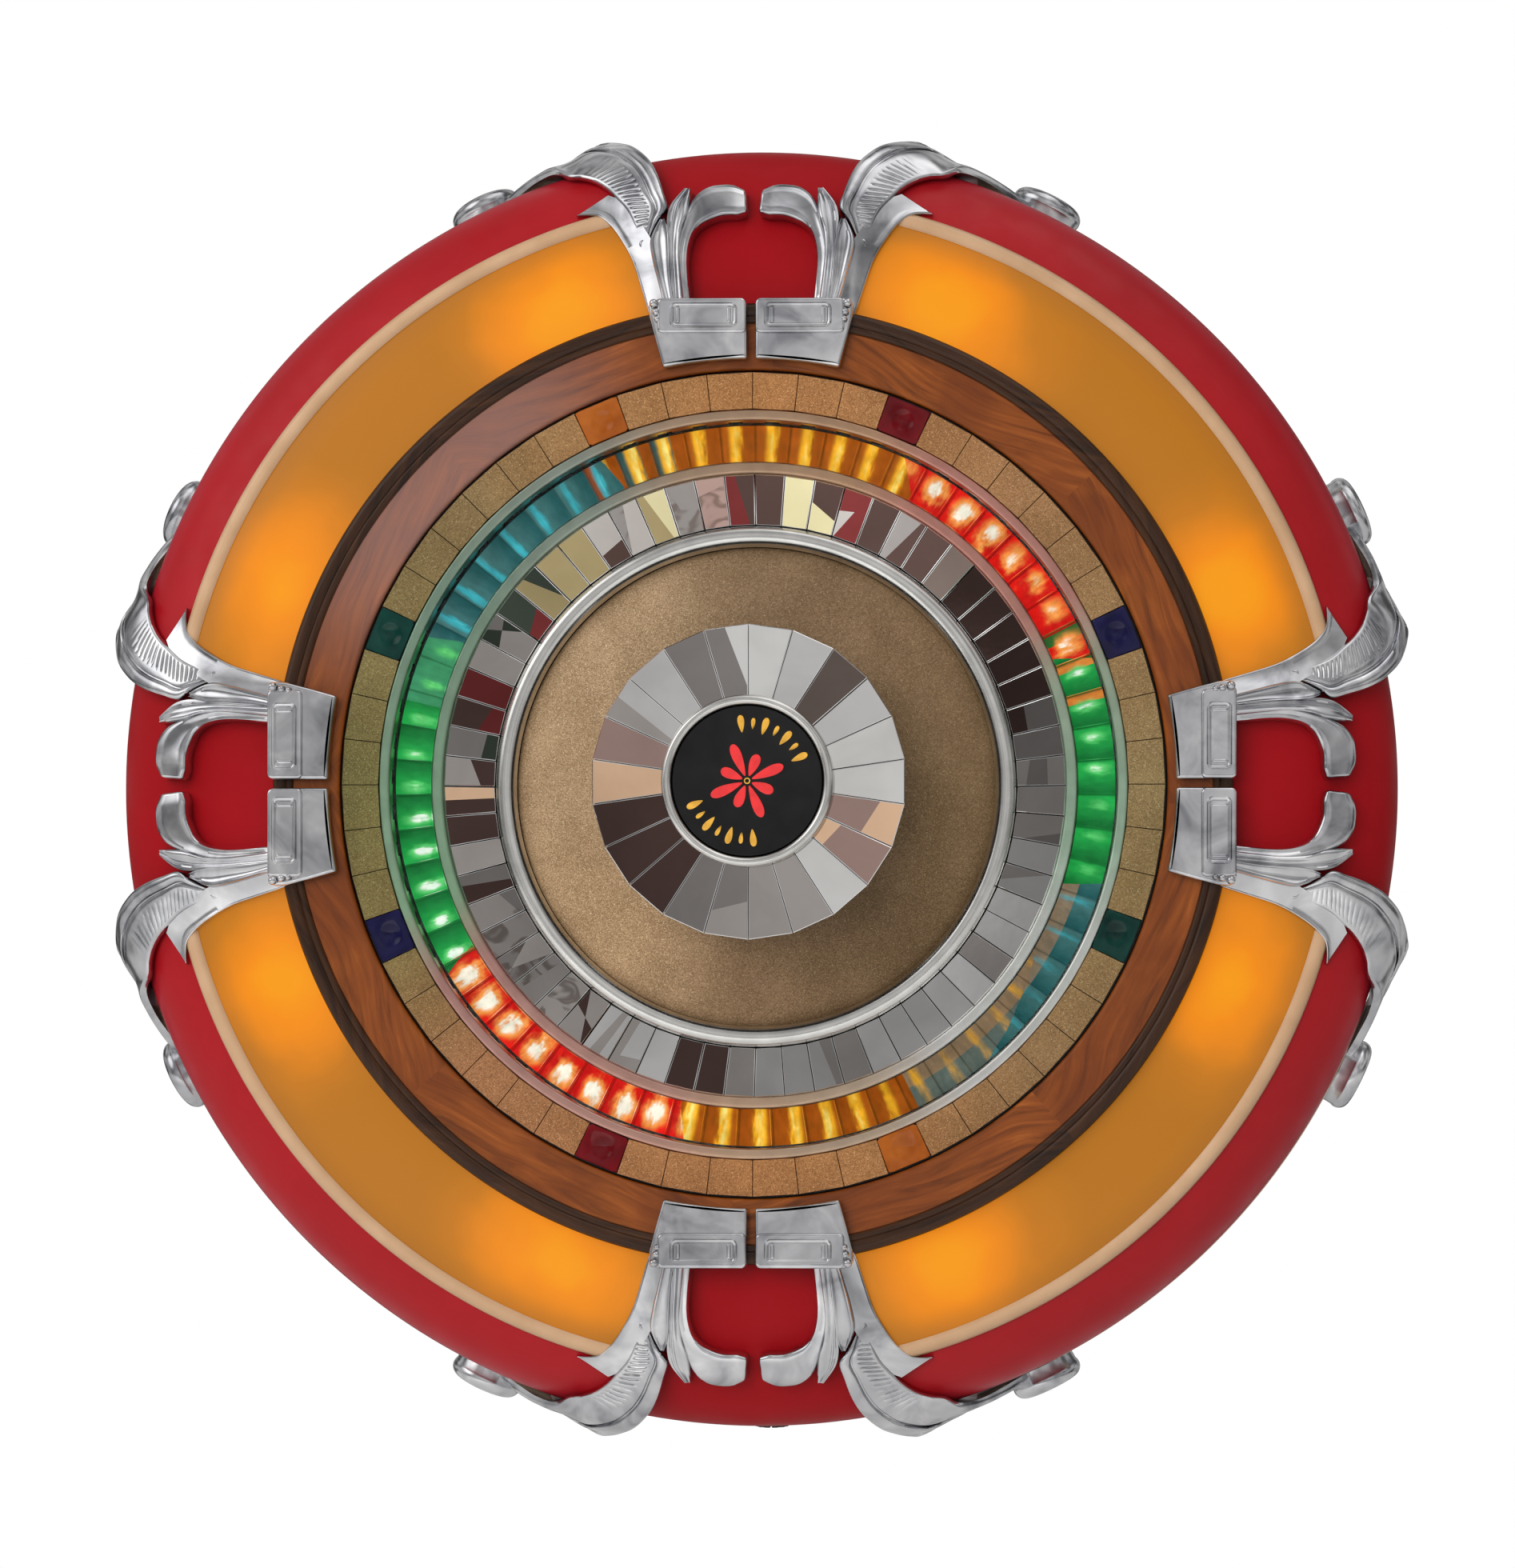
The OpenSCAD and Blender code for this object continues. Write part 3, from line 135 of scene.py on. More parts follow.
def newFinish(name, **constants):  # a material, and the wire of the object's own coordinates in it
    material = bpy.data.materials.new(name)
    material.use_nodes = True
    shader = material.node_tree.nodes["Principled BSDF"]
    for key, value in constants.items():
        shader.inputs[key.replace("_", " ")].default_value = value
    finishes[name] = material
    return Wire(material.node_tree, shader.outputs[0]).node("ShaderNodeTexCoord", out=3)


def roundFace(place):  # radius in mm and angle in turns, counted from the right as seen from the room
    across, up = place.axis(0), place.axis(2)
    radius = (across * across + up * up).calc("SQRT") * 1000
    return radius, (up.calc("ARCTAN2", up, across) / tau + 1).calc("FRACT")


finishes = {}


class Shape:  # points in metres, faces and the tint of each face
    def __init__(self):
        self.points = []
        self.faces = []
        self.tints = []

    def add(self, points, faces, place=toWorld, tint=(1, 1, 1, 1)):
        start = len(self.points)
        self.points += [place @ Vector(p) for p in points]
        self.faces += [tuple(start + i for i in face) for face in faces]
        self.tints += [tint] * len(faces)

    def loft(self, loops, place=toWorld, capped=True):
        size = len(loops[0])
        faces = []
        for i in range(len(loops) - 1):
            for j in range(size):
                a, b = i * size + j, i * size + (j + 1) % size
                faces.append((a, b, b + size, a + size))
        if capped:
            faces.append(tuple(range(size))[::-1])
            faces.append(tuple((len(loops) - 1) * size + j for j in range(size)))
        self.add([p for loop in loops for p in loop], faces, place)

    def lathe(self, outline, start=0.0, stop=360.0, steps=288):
        loops = []
        for i in range(steps + 1):
            a = radians(start + (stop - start) * i / steps)
            loops.append([(r * cos(a), r * sin(a), z) for r, z in outline])
        self.loft(loops, capped=stop - start < 360)

    def quarters(self, outline, start, steps=90):  # the same band in each quarter, between the castings
        for q in range(4):
            self.lathe(outline, 90 * q + start, 90 * q + 90 - start, steps)


def cleaned(mesh):
    work = bmesh.new()
    work.from_mesh(mesh)
    bmesh.ops.remove_doubles(work, verts=work.verts, dist=2e-6)
    bmesh.ops.recalc_face_normals(work, faces=work.faces)
    work.to_mesh(mesh)
    work.free()


def addObject(name, data):
    made = bpy.data.objects.new(name, data)
    scene.collection.objects.link(made)
    return made


# A piece stands for the node of its own name, or for the one that is given
def makePiece(name, finish, shape, stands=None, sharp=35, smooth=True):
    mesh = bpy.data.meshes.new(name)
    mesh.from_pydata(shape.points, [], shape.faces)
    tint = mesh.color_attributes.new("tint", "FLOAT_COLOR", "CORNER")
    colours = [c for poly, t in zip(mesh.polygons, shape.tints) for _ in poly.loop_indices for c in t]
    tint.data.foreach_set("color", colours)
    cleaned(mesh)
    mesh.materials.append(finishes[finish])
    if smooth:
        mesh.shade_smooth()
        mesh.set_sharp_from_angle(angle=radians(sharp))
    piece = addObject(name, mesh)
    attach(piece, "cabinet")
    stands = stands or "".join("_" + c.lower() if c.isupper() else c for c in name)
    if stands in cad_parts:
        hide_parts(stands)
    return piece


def turnedPiece(name, finish, outline, steps=288, sharp=35):
    shape = Shape()
    shape.lathe(outline, steps=steps)
    return makePiece(name, finish, shape, sharp=sharp)


def rounded(outline, radii, steps=6):  # fillets the corners of a closed outline
    made = []
    count = len(outline)
    for i, (x, y) in enumerate(outline):
        radius = radii[i] if isinstance(radii, (list, tuple)) else radii
        p, a, b = Vector((x, y)), Vector(outline[i - 1]), Vector(outline[(i + 1) % count])
        before, after = a - p, b - p
        half = before.angle(after) / 2 if before.length > 0 and after.length > 0 else 0
        if radius <= 0 or half < 0.03 or half > 1.55:
            made.append((x, y))
            continue
        cut = min(radius / tan(half), 0.49 * before.length, 0.49 * after.length)
        before.normalize()
        after.normalize()
        centre = p + (before + after).normalized() * (cut / cos(half))
        first, last = p + before * cut - centre, p + after * cut - centre
        begin = atan2(first.y, first.x)
        turn = (atan2(last.y, last.x) - begin + pi) % tau - pi
        for k in range(steps + 1):
            t = begin + turn * k / steps
            made.append((centre.x + first.length * cos(t), centre.y + first.length * sin(t)))
    return made


def arc(x, y, radius, start, stop, steps=12):
    return [(x + radius * cos(radians(start + (stop - start) * i / steps)),
             y + radius * sin(radians(start + (stop - start) * i / steps))) for i in range(steps + 1)]


def insetOutline(outline, depth):  # moves every edge of an outline that goes anticlockwise inwards
    made = []
    count = len(outline)
    for i in range(count):
        a, p, b = Vector(outline[i - 1]), Vector(outline[i]), Vector(outline[(i + 1) % count])
        one, two = (p - a).normalized(), (b - p).normalized()
        normal = Vector((-one.y - two.y, one.x + two.x)).normalized()
        lean = max(0.3, normal.dot(Vector((-one.y, one.x))))
        made.append(tuple(p + normal * (depth / lean)))
    return made


def slab(shape, outline, low, high, edge, place):  # a plate with rounded top edges
    loops = [[(x, y, low) for x, y in outline]]
    for k in range(3):
        t = pi / 4 * k
        inner = insetOutline(outline, edge * (1 - cos(t))) if k else outline
        loops.append([(x, y, high - edge + edge * sin(t)) for x, y in inner])
    loops.append([(x, y, high) for x, y in insetOutline(outline, edge * 1.5)])
    shape.loft(loops, place)


def splitFace(outline, point, angle):  # the two parts of an outline on either side of a line
    normal = Vector((cos(angle), sin(angle)))
    sides = [], []
    for i, p in enumerate(outline):
        q = outline[(i + 1) % len(outline)]
        a, b = (Vector(p) - point).dot(normal), (Vector(q) - point).dot(normal)
        sides[a < 0].append(tuple(p))
        if a * b < 0:
            crossing = tuple(Vector(p) + (Vector(q) - Vector(p)) * (a / (a - b)))
            sides[0].append(crossing)
            sides[1].append(crossing)
    return [side for side in sides if len(side) > 2]


def mirrorTile(shape, outline, low, edge, place, tints, cuts):  # a bevelled tile with painted reflections of parts of the room side by side
    inner = insetOutline(outline, edge)
    count = len(outline)
    foot, shoulder, face = [[(x, y, z) for x, y in line] for line, z in ((outline, low), (outline, -edge), (inner, 0))]
    sides = [(k, (k + 1) % count, (k + 1) % count + count, k + count) for k in range(count)]
    shape.add(foot + shoulder, sides, place, tints[0])
    shape.add(shoulder + face, sides, place, (0.9, 0.9, 0.9, 1))
    shape.add(foot, [tuple(range(count))[::-1]], place, tints[0])
    parts = [inner]
    for point, angle in cuts:
        parts = [piece for part in parts for piece in splitFace(part, Vector(point), angle)]
    for number, part in enumerate(parts):
        shape.add([(x, y, 0) for x, y in part], [tuple(range(len(part)))], place, tints[number % len(tints)])


def wedge(inner, outer, count, joint):  # a tile of a ring, along +x
    low, high = inner * tan(pi / count) - joint / 2, outer * tan(pi / count) - joint / 2
    return [(inner, -low), (outer, -high), (outer, high), (inner, low)]


def turned(angle):
    return toWorld @ Matrix.Rotation(radians(angle), 4, "Z")


def midway(a, b, share):
    return a + (b - a) * share


# The face, as the frame has it
form = Sizes(
    cabinetR=397.5, rimZ=165.0, backTaper=12.0, faceRise=49.0, flangeZ=214.0, flangeBoreR=262.0,
    woodR=291.7, woodBoreR=253.5, woodH=15.0, pilasterDeg=11.3, panelDeg=10.6,
    panelR=400.3, panelRise=51.8, panelT=2.5, skirt=22.0, beadR=358.0,
    tileZ=219.0, blockZ=207.8, ledgeZ=207.5, mirrorTopZ=209.54, discFaceZ=252.5)
cabinetR, rimZ, flangeZ = form.cabinetR, form.rimZ, form.flangeZ
woodR, panelR, panelRise = form.woodR, form.panelR, form.panelRise


def domePoint(radius, rise, angle):
    t = radians(angle)
    return (woodR + (radius - woodR) * cos(t), rimZ + rise * sin(t))


def domeLine(radius, rise, start, stop, steps=48):
    return [domePoint(radius, rise, midway(start, stop, i / steps)) for i in range(steps + 1)]


def domeAngle(radius, r):
    return degrees(acos((r - woodR) / (radius - woodR)))


def sideR(z):
    return cabinetR - form.backTaper * (1 - z / rimZ) ** 2


# Camera, as the photograph was taken: two metres off, a little right of the middle and below it

cameraFacts = Sizes(place=(0.165, -2.165, -0.110), aim=(-0.00175, -0.165, 0.0035), frameHeight=0.98, turn=1.0)
camera = addObject("camera", bpy.data.cameras.new("camera"))
scene.camera = camera
cameraTurn = radians(cameraFacts.turn)
toAim = Vector(cameraFacts.aim) - Vector(cameraFacts.place)
depth = toAim.dot(Vector((-sin(cameraTurn), cos(cameraTurn), 0)))
camera.location = cameraFacts.place
camera.rotation_euler = (pi / 2, 0, cameraTurn)
camera.data.lens = 36 * depth / cameraFacts.frameHeight
camera.data.shift_x = toAim.dot(Vector((cos(cameraTurn), sin(cameraTurn), 0))) / cameraFacts.frameHeight
camera.data.shift_y = toAim.z / cameraFacts.frameHeight
print("camera placed")


# Studio: a white room with soft dark and pale parts for the bright metal to show, and one big soft lamp

studio = Sizes(lampPower=102.0, lampPlace=(-1.1, -3.7, 0.9), lampSize=2.4, floorZ=-1.0)
brightSpots = [((-0.72, -0.50, 0.48), 0.90, 0.98, 1.3), ((0.55, -0.62, -0.56), 0.93, 0.98, 0.8),
               ((0.30, -0.35, 0.89), 0.86, 0.97, 0.8)]
world = bpy.data.worlds.new("studio")
scene.world = world
world.use_nodes = True
background = world.node_tree.nodes["Background"]
way = Wire(world.node_tree, background.outputs[0]).node("ShaderNodeTexCoord", out=0)
front = 0 - way.axis(1)
patches = way.noise(2.4, 2, 0.5, 0.3).span(0.4, 0.6, 0.07, 0.55)
calm = way.noise(3.1, 1, 0.4).span(0.36, 0.64, 0.7, 1.15) * front.span(0.78, 0.97, 0.34, 0.6)  # what the flat mirrors show
level = front.span(0.55, 0.85) * (calm - patches) + patches
level = level * way.axis(2).span(-0.7, 0.7, 0.8, 1.2)
for aim, low, high, strength in brightSpots:
    facing = way.node("ShaderNodeVectorMath", {"operation": "DOT_PRODUCT"}, {1: aim, 0: way}, 1)
    level = level + facing.span(low, high, 0, strength)
room = level.joined(level * 0.99, level * 0.98)
seen = way.node("ShaderNodeLightPath").mix(room, (1, 1, 1, 1))
world.node_tree.links.new(seen.socket, background.inputs["Color"])

lampData = bpy.data.lights.new("softLamp", "AREA")
lampData.energy = studio.lampPower
lampData.size = studio.lampSize
softLamp = addObject("softLamp", lampData)
softLamp.location = studio.lampPlace
softLamp.visible_glossy = False
softLamp.rotation_euler = (Vector((0, -0.1, 0)) - softLamp.location).to_track_quat("-Z", "Y").to_euler()

place = newFinish("paleFloor", Roughness=0.8)
place.noise(3, 3).paints((238, 238, 236), (246, 246, 245))
floorMesh = bpy.data.meshes.new("floor")
floorCorners = [(x, y, studio.floorZ) for x, y in ((-4, -4), (4, -4), (4, 1.3), (-4, 1.3))]
floorMesh.from_pydata(floorCorners, [], [(0, 1, 2, 3)])
floorMesh.materials.append(finishes["paleFloor"])
floor = addObject("floor", floorMesh)
print("studio ready")


# Finishes that belong to one piece

place = newFinish("redLacquer", Roughness=0.45, Specular_IOR_Level=0.12)
place.noise(9, 4, 0.6).paints((136, 8, 16), (146, 11, 20))
(place.noise(420, 2) + place.noise(60, 3) * 0.6).bump(0.05, 0.0006).feeds("Normal")
place.noise(30, 3).span(0.3, 0.7, 0.38, 0.52).feeds("Roughness")

place = newFinish("redPlastic", Roughness=0.4, Specular_IOR_Level=0.25)
radius, turn = roundFace(place)
mottle = place.noise(12, 4, 0.6).ramp((0.3, rgb(143, 9, 18)), (0.7, rgb(154, 13, 23)))
# painted sheen: a pinkish band along the outer roll of the panels
paintedRimSheen = radius.span(386, 397, 0.0, 0.4)
paintedRimSheen.mix(mottle, rgb(160, 40, 54)).feeds("Base Color")
place.noise(50, 3).span(0.3, 0.7, 0.34, 0.48).feeds("Roughness")
place.dents(300, 2, 0.04, 0.0005)

# Amber: the light of two lamps behind each panel is painted into it as emission
place = newFinish("amberPlastic", Roughness=0.3, Specular_IOR_Level=0.2, Emission_Strength=1.0)
radius, turn = roundFace(place)
aside = ((turn * 8).calc("FRACT") - 0.5) * tau / 8 * radius  # the painted lamp spots stand at 22.5 degrees and every 45 degrees on
outward = radius - 312
away = (aside * aside + outward * outward * 1.3).calc("SQRT")
cloud = place.noise(14, 3, 0.5).span(0.25, 0.75, -10, 10)
near = (away + cloud).span(4, 92, 1, 0)
glow = near.ramp((0.0, rgb(143, 88, 18)), (0.3, rgb(160, 96, 18)), (0.6, rgb(196, 112, 14)),
                 (0.85, rgb(214, 122, 6)), (1.0, rgb(218, 138, 4)))
# painted shade: the glow dims towards the outer rim
rimShade = radius.span(336, 353, 0, 0.45)
rimShade.mix(glow, rgb(120, 76, 30)).feeds("Emission Color")
near.paints((114, 70, 16), (120, 70, 14), 0, 1)
place.dents(180, 3, 0.03, 0.0006)

# Wood: the ring is cut from straight boards, and its outer beads are stained dark
place = newFinish("ringWood", Roughness=0.32, Coat_Weight=0.22, Coat_Roughness=0.16, Specular_IOR_Level=0.15)
radius, turn = roundFace(place)
boards = (turn * 8 + 0.06).calc("FLOOR")
tilt = (boards + 0.44) * (tau / 8) + pi / 2
along = place.axis(0) * tilt.calc("COSINE") + place.axis(2) * tilt.calc("SINE")
acrossGrain = place.axis(2) * tilt.calc("COSINE") - place.axis(0) * tilt.calc("SINE")
sway = place.noise(7, 2, 0.5) * 0.05
grainPlace = (along * 5).joined((acrossGrain + sway) * 60, boards * 3.1)
grain = grainPlace.noise(3.2, 6, 0.62, 0.6)
pores = grainPlace.tinted((1.5, 8, 1)).noise(9, 3, 0.6)
figure = place.noise(16, 3, 0.5, 0.8)
plain = grain.ramp((0.28, rgb(76, 36, 10)), (0.46, rgb(112, 56, 14)), (0.6, rgb(129, 66, 18)), (0.8, rgb(154, 86, 32)))
plain = (figure.span(0.35, 0.65, 0, 0.55)).mix(plain, rgb(92, 40, 10))
plain = (turn.span(0.28, 0.35) * turn.span(0.40, 0.48, 0.36, 0)).mix(plain, rgb(152, 127, 124))  # a painted sheen on the lacquer at the upper left
dark = grain.ramp((0.3, rgb(30, 17, 9)), (0.7, rgb(62, 36, 18)))
stained = radius.span(278.2, 279.8)
stained.mix(plain, dark).feeds("Base Color")
(grain * 0.6 + pores * 0.5).bump(0.12, 0.0006).feeds("Normal")
(pores.span(0.35, 0.6, 0.3, 0.5) - stained * 0.06).feeds("Roughness")


# The glass ring's light, painted on the tiles and the trim beside it as a tint: angle from the right, then a tint in
# hundredths
paintedTileGlow = [(0, 62, 71, 70), (45, 76, 64, 62), (75, 94, 71, 59), (90, 100, 74, 58), (110, 82, 67, 58), (135, 53, 57, 55),
            (180, 39, 56, 42), (205, 45, 54, 44), (225, 76, 56, 55), (270, 90, 65, 52), (290, 84, 64, 53),
            (315, 60, 56, 55), (345, 60, 66, 62), (360, 62, 71, 70)]
paintedTrimGlow = [(0, 55, 78, 60), (18, 60, 75, 58), (30, 85, 42, 36), (60, 85, 40, 34), (72, 80, 50, 32), (104, 72, 52, 38),
            (118, 50, 56, 50), (148, 40, 58, 46), (200, 46, 74, 50), (212, 80, 44, 40), (255, 86, 50, 42),
            (266, 88, 60, 42), (292, 80, 64, 50), (306, 100, 100, 100), (336, 95, 100, 97), (350, 60, 85, 66),
            (360, 55, 78, 60)]
# Painted light and shade on the dish: paler at the left, darkest at the lower right
paintedDishLight = [(0, 48, 47, 42), (45, 54, 52, 50), (90, 50, 49, 48), (120, 84, 87, 90), (180, 85, 87, 88),
             (230, 100, 100, 100), (265, 50, 47, 44), (315, 35, 33, 29), (360, 48, 47, 42)]


def around(turn, stops):
    return turn.ramp(*[(angle / 360, [c / 100 for c in tint]) for angle, *tint in stops])


def goldFlake(name, low, high, roughness, coat, glow=None):
    place = newFinish(name, Coat_Weight=coat, Coat_Roughness=0.08, Specular_IOR_Level=0.3)
    flakes = place.cells(1900).axis(0)
    coarse = place.cells(900).axis(1)
    base = (place.noise(26, 4, 0.6) * 0.55 + flakes * 0.45).ramp((0.3, low), (0.75, high))
    # some flakes are painted pale as glints
    glint = (flakes > 0.955) * (coarse > 0.35)
    base = (glint * 0.5).mix(base, rgb(240, 222, 184))
    (base.tinted(around(roundFace(place)[1], glow)) if glow else base).feeds("Base Color")
    (0.3 + glint * 0.4).feeds("Metallic")
    (roughness - flakes * 0.1).feeds("Roughness")
    (flakes + coarse).bump(0.2, 0.0003).feeds("Normal")


goldFlake("goldGlass", rgb(138, 106, 66), rgb(190, 154, 106), 0.45, 0.1, paintedTileGlow)
goldFlake("goldPaint", rgb(140, 111, 78), rgb(196, 163, 126), 0.5, 0.0, paintedDishLight)


for colour, deep, light in (("amber", (132, 64, 12), (160, 86, 24)), ("red", (72, 0, 6), (104, 2, 12)),
                            ("blue", (6, 5, 34), (20, 17, 62)), ("green", (0, 30, 26), (2, 54, 46))):
    place = newFinish(colour + "Tile", Roughness=0.12, Coat_Weight=0.25, Coat_Roughness=0.03, Specular_IOR_Level=0.12)
    place.noise(70, 3, 0.5).paints(deep, light, 0.3, 0.75)
    place.dents(120, 2, 0.06, 0.0008)

for name, glow in (("brightTrim", paintedTrimGlow), ("plainTrim", None)):
    place = newFinish(name, Metallic=1.0)
    radius, turn = roundFace(place)
    shine = place.noise(70, 3).ramp((0.3, rgb(204, 203, 200)), (0.7, rgb(222, 221, 218)))
    if glow:  # only the thin rings beside the glass get its light painted on
        shine = radius.span(180, 186).mix(shine, shine.tinted(around(turn, glow)))
    shine.feeds("Base Color")
    (radius.span(180, 186, 0.16, 0.34) + place.noise(120, 3) * 0.1).feeds("Roughness")

place = newFinish("polishedCasting", Metallic=1.0, Roughness=0.2)
smudge = place.noise(30, 3, 0.55, 0.7)
smudge.ramp((0.3, rgb(150, 151, 156)), (0.45, rgb(190, 191, 195)), (0.58, rgb(210, 210, 213)),
            (0.72, rgb(232, 232, 234))).feeds("Base Color")
(smudge * 0.14 + place.noise(150, 3, 0.6) * 0.16 + 0.05).feeds("Roughness")
place.noise(32, 1, 0.4).bump(0.4, 0.0014).feeds("Normal")

place = newFinish("clearGlass", Transmission_Weight=1.0, IOR=1.05)
radius, turn = roundFace(place)
ribbed = (turn * 63).joined(radius * 0.02)  # faint ribs run in and out
ribbed.noise(6, 3, 0.5).paints((226, 234, 232), (252, 253, 252))
place.noise(90, 2).span(0.3, 0.7, 0.02, 0.09).feeds("Roughness")
ribbed.noise(5, 2, 0.5).bump(0.5, 0.0005).feeds("Normal")

# Mirror glass: a tile's tint is a painted reflection of the room, and it changes within a tile
place = newFinish("mirrorGlass", Metallic=1.0, Roughness=0.04)
tint = place.node("ShaderNodeVertexColor", {"layer_name": "tint"})
busy = 1 - place.node("ShaderNodeVertexColor", {"layer_name": "tint"}, None, 1)
# painted reflections: shapes of the room and darker patches inside a tile
reflectedShapes = place.noise(42, 2, 0.5, 1.4)
reflectedShapes = reflectedShapes.span(0.46, 0.56) * reflectedShapes.span(0.6, 0.7, 0.6, 0.1)
dimmedReflection = place.noise(20, 3, 0.5, 0.4).span(0.35, 0.7, 0, 0.3)
(reflectedShapes * busy).mix(dimmedReflection.mix(tint, tint.tinted((0.6, 0.58, 0.57))), rgb(84, 68, 60)).feeds("Base Color")
place.dents(60, 2, 0.05, 0.0006)

# Plastics and enamels: a range of colours, scale and detail of the blotches, the dents' four numbers, fixed values
for name, low, high, scale, detail, dents, constants in (
        ("creamPlastic", (174, 138, 104), (186, 151, 118), 40, 3, (260, 2, 0.03, 0.0005),
         {"Roughness": 0.3, "Coat Weight": 0.3, "Coat Roughness": 0.08, "Specular IOR Level": 0.3}),
        ("stripPlastic", (205, 180, 150), (224, 200, 172), 30, 3, (200, 2, 0.04, 0.0005), {"Roughness": 0.4}),
        ("medalBlack", (8, 8, 9), (18, 17, 17), 80, 3, (400, 2, 0.03, 0.0004),
         {"Roughness": 0.25, "Specular IOR Level": 0.3}),
        ("redEnamel", (196, 16, 22), (222, 26, 30), 150, 2, (), {"Roughness": 0.3, "Coat Weight": 0.6}),
        ("goldEnamel", (190, 136, 30), (222, 168, 52), 150, 2, (), {"Roughness": 0.32, "Coat Weight": 0.4})):
    place = newFinish(name, **constants)
    place.noise(scale, detail).paints(low, high)
    if dents:
        place.dents(*dents)

place = newFinish("grilleWeave", Roughness=0.9)
weaveX = (place.axis(0) * 5600).calc("SINE")
weaveZ = (place.axis(2) * 5600).calc("SINE")
(weaveX * weaveZ).span(-0.6, 0.6).mix(rgb(24, 20, 16), rgb(70, 58, 40)).feeds("Base Color")
(weaveX * weaveZ).bump(0.5, 0.0004).feeds("Normal")

# The light chamber: the lamps' light on the floor under the gels is painted in as emission, brightest beside the lamps
place = newFinish("chamberFloor", Roughness=0.6, Emission_Strength=1.0)
radius, turn = roundFace(place)
sideways = ((turn * 16).calc("FRACT") - 0.5) * tau / 16 * 211
inOut = radius - 211
spot = (sideways * sideways + inOut * inOut).calc("SQRT").span(0, 46, 1, 0)
(spot ** 2).mix((0.05, 0.045, 0.035, 1), (0.3, 0.26, 0.2, 1)).feeds("Emission Color")
place.noise(60, 3).paints((226, 224, 216), (240, 238, 232))

place = newFinish("bulbGlass", Roughness=0.2, Emission_Strength=1.5)
place.noise(90, 2).ramp((0.3, (1.0, 0.84, 0.6)), (0.7, (1.0, 0.9, 0.7))).feeds("Emission Color")


# A gel's light is painted into it as emission: a painted lit patch under each block, hotter where a lamp is near.
# Both lists go by angle from the right, in hundredths: how hot the patches are, and how bright the rest is.
paintedLampHeat = [(0, 55), (18, 80), (27, 55), (42, 60), (47, 100), (60, 100), (66, 60), (72, 55), (98, 60), (112, 75),
            (120, 50), (152, 50), (160, 50), (180, 60), (186, 100), (204, 100), (212, 110), (226, 115), (234, 95),
            (240, 110), (250, 100), (262, 72), (284, 65), (296, 40), (304, 28), (338, 30), (350, 35), (360, 55)]
paintedLampFill = [(0, 100), (66, 100), (100, 95), (112, 90), (150, 85), (158, 95), (258, 105), (288, 90), (300, 75), (334, 72),
            (346, 90), (360, 100)]


def gelSheet(name, through, dark, body, halo, hot, guests, at, wide, out, long, ragged):
    place = newFinish(name, Roughness=0.5, Specular_IOR_Level=0.0, Emission_Strength=1.0)
    radius, turn = roundFace(place)
    heat = around(turn, [(a, v, v, v) for a, v in paintedLampHeat]).axis(0)
    fill = around(turn, [(a, v / 2, v / 2, v / 2) for a, v in paintedLampFill]).axis(0) * 2
    number = ((turn - 0.25) * 63).calc("FLOOR")
    step = ((turn - 0.25) * 63).calc("FRACT") - 0.5  # across a block, from its clockwise side
    deep = (radius - 209) / 12  # along a block, from its inner end
    chance = (number * 7.31).calc("SINE")
    lines = (turn * 63).joined(deep * 0.14, number).noise(6.5, 3, 0.6)
    drift = place.noise(70, 3, 0.6)
    acrossIt = (step - at - chance * 0.07 + (lines - 0.5) * 0.2) / wide
    alongIt = (deep - out - chance * 0.12 + (drift - 0.5) * ragged) / long
    patch = ((acrossIt * acrossIt + (alongIt ** 2).calc("ABSOLUTE")) * -1).calc("EXPONENT")
    lit = patch * heat * (lines.span(0.35, 0.65, 0.75, 1.15) + (drift - 0.5) * ragged)
    # painted shade: each block darker on its clockwise side
    colour = step.span(-0.5, 0.3).mix(dark, body)
    for low, high, stepFrom, deepTo, guest in guests:
        here = (turn > low / 360) * (turn < high / 360) * (step > stepFrom) * (deep < deepTo)
        colour = here.mix(colour, guest)
    # painted highlights: a halo and a hot core where the lamps' light is strongest
    colour = lit.span(0.08, 0.5).mix(colour, halo)
    colour = lit.span(0.45, 0.85).mix(colour, hot)
    joint = step.calc("ABSOLUTE").span(0.43, 0.5, 1, 0.45)
    colour.dimmed(fill * joint * drift.span(0.3, 0.7, 0.85, 1.12)).feeds("Emission Color")
    place.noise(30, 2).mix(through, tuple(c * 0.9 for c in through[:3]) + (1,)).feeds("Base Color")


amberDark, tealDark, greenDark = (0.33, 0.062, 0.003, 1), (0.015, 0.085, 0.088, 1), (0.004, 0.13, 0.024, 1)
brownish = (0.30, 0.2, 0.12, 1)
gelSheet("amberGel", (0.05, 0.025, 0.005, 1), amberDark, (0.43, 0.088, 0.005, 1), (1, 0.47, 0.02, 1), (1, 0.84, 0.24, 1),
         [(104, 118, -0.12, 2, tealDark), (297, 339, -1, 2, (0.10, 0.16, 0.155, 1)), (297, 339, -1, -0.1, brownish)],
         at=0.1, wide=0.19, out=0, long=5, ragged=0.5)
gelSheet("redGel", (0.06, 0.008, 0.006, 1), (0.64, 0.006, 0.006, 1), (0.78, 0.008, 0.006, 1), (0.95, 0.34, 0.07, 1),
         (1, 0.94, 0.78, 1), [(204, 213, 0.1, 2, greenDark), (14, 27, 0.15, 2, greenDark)],
         at=0.04, wide=0.33, out=0.25, long=0.75, ragged=1.7)
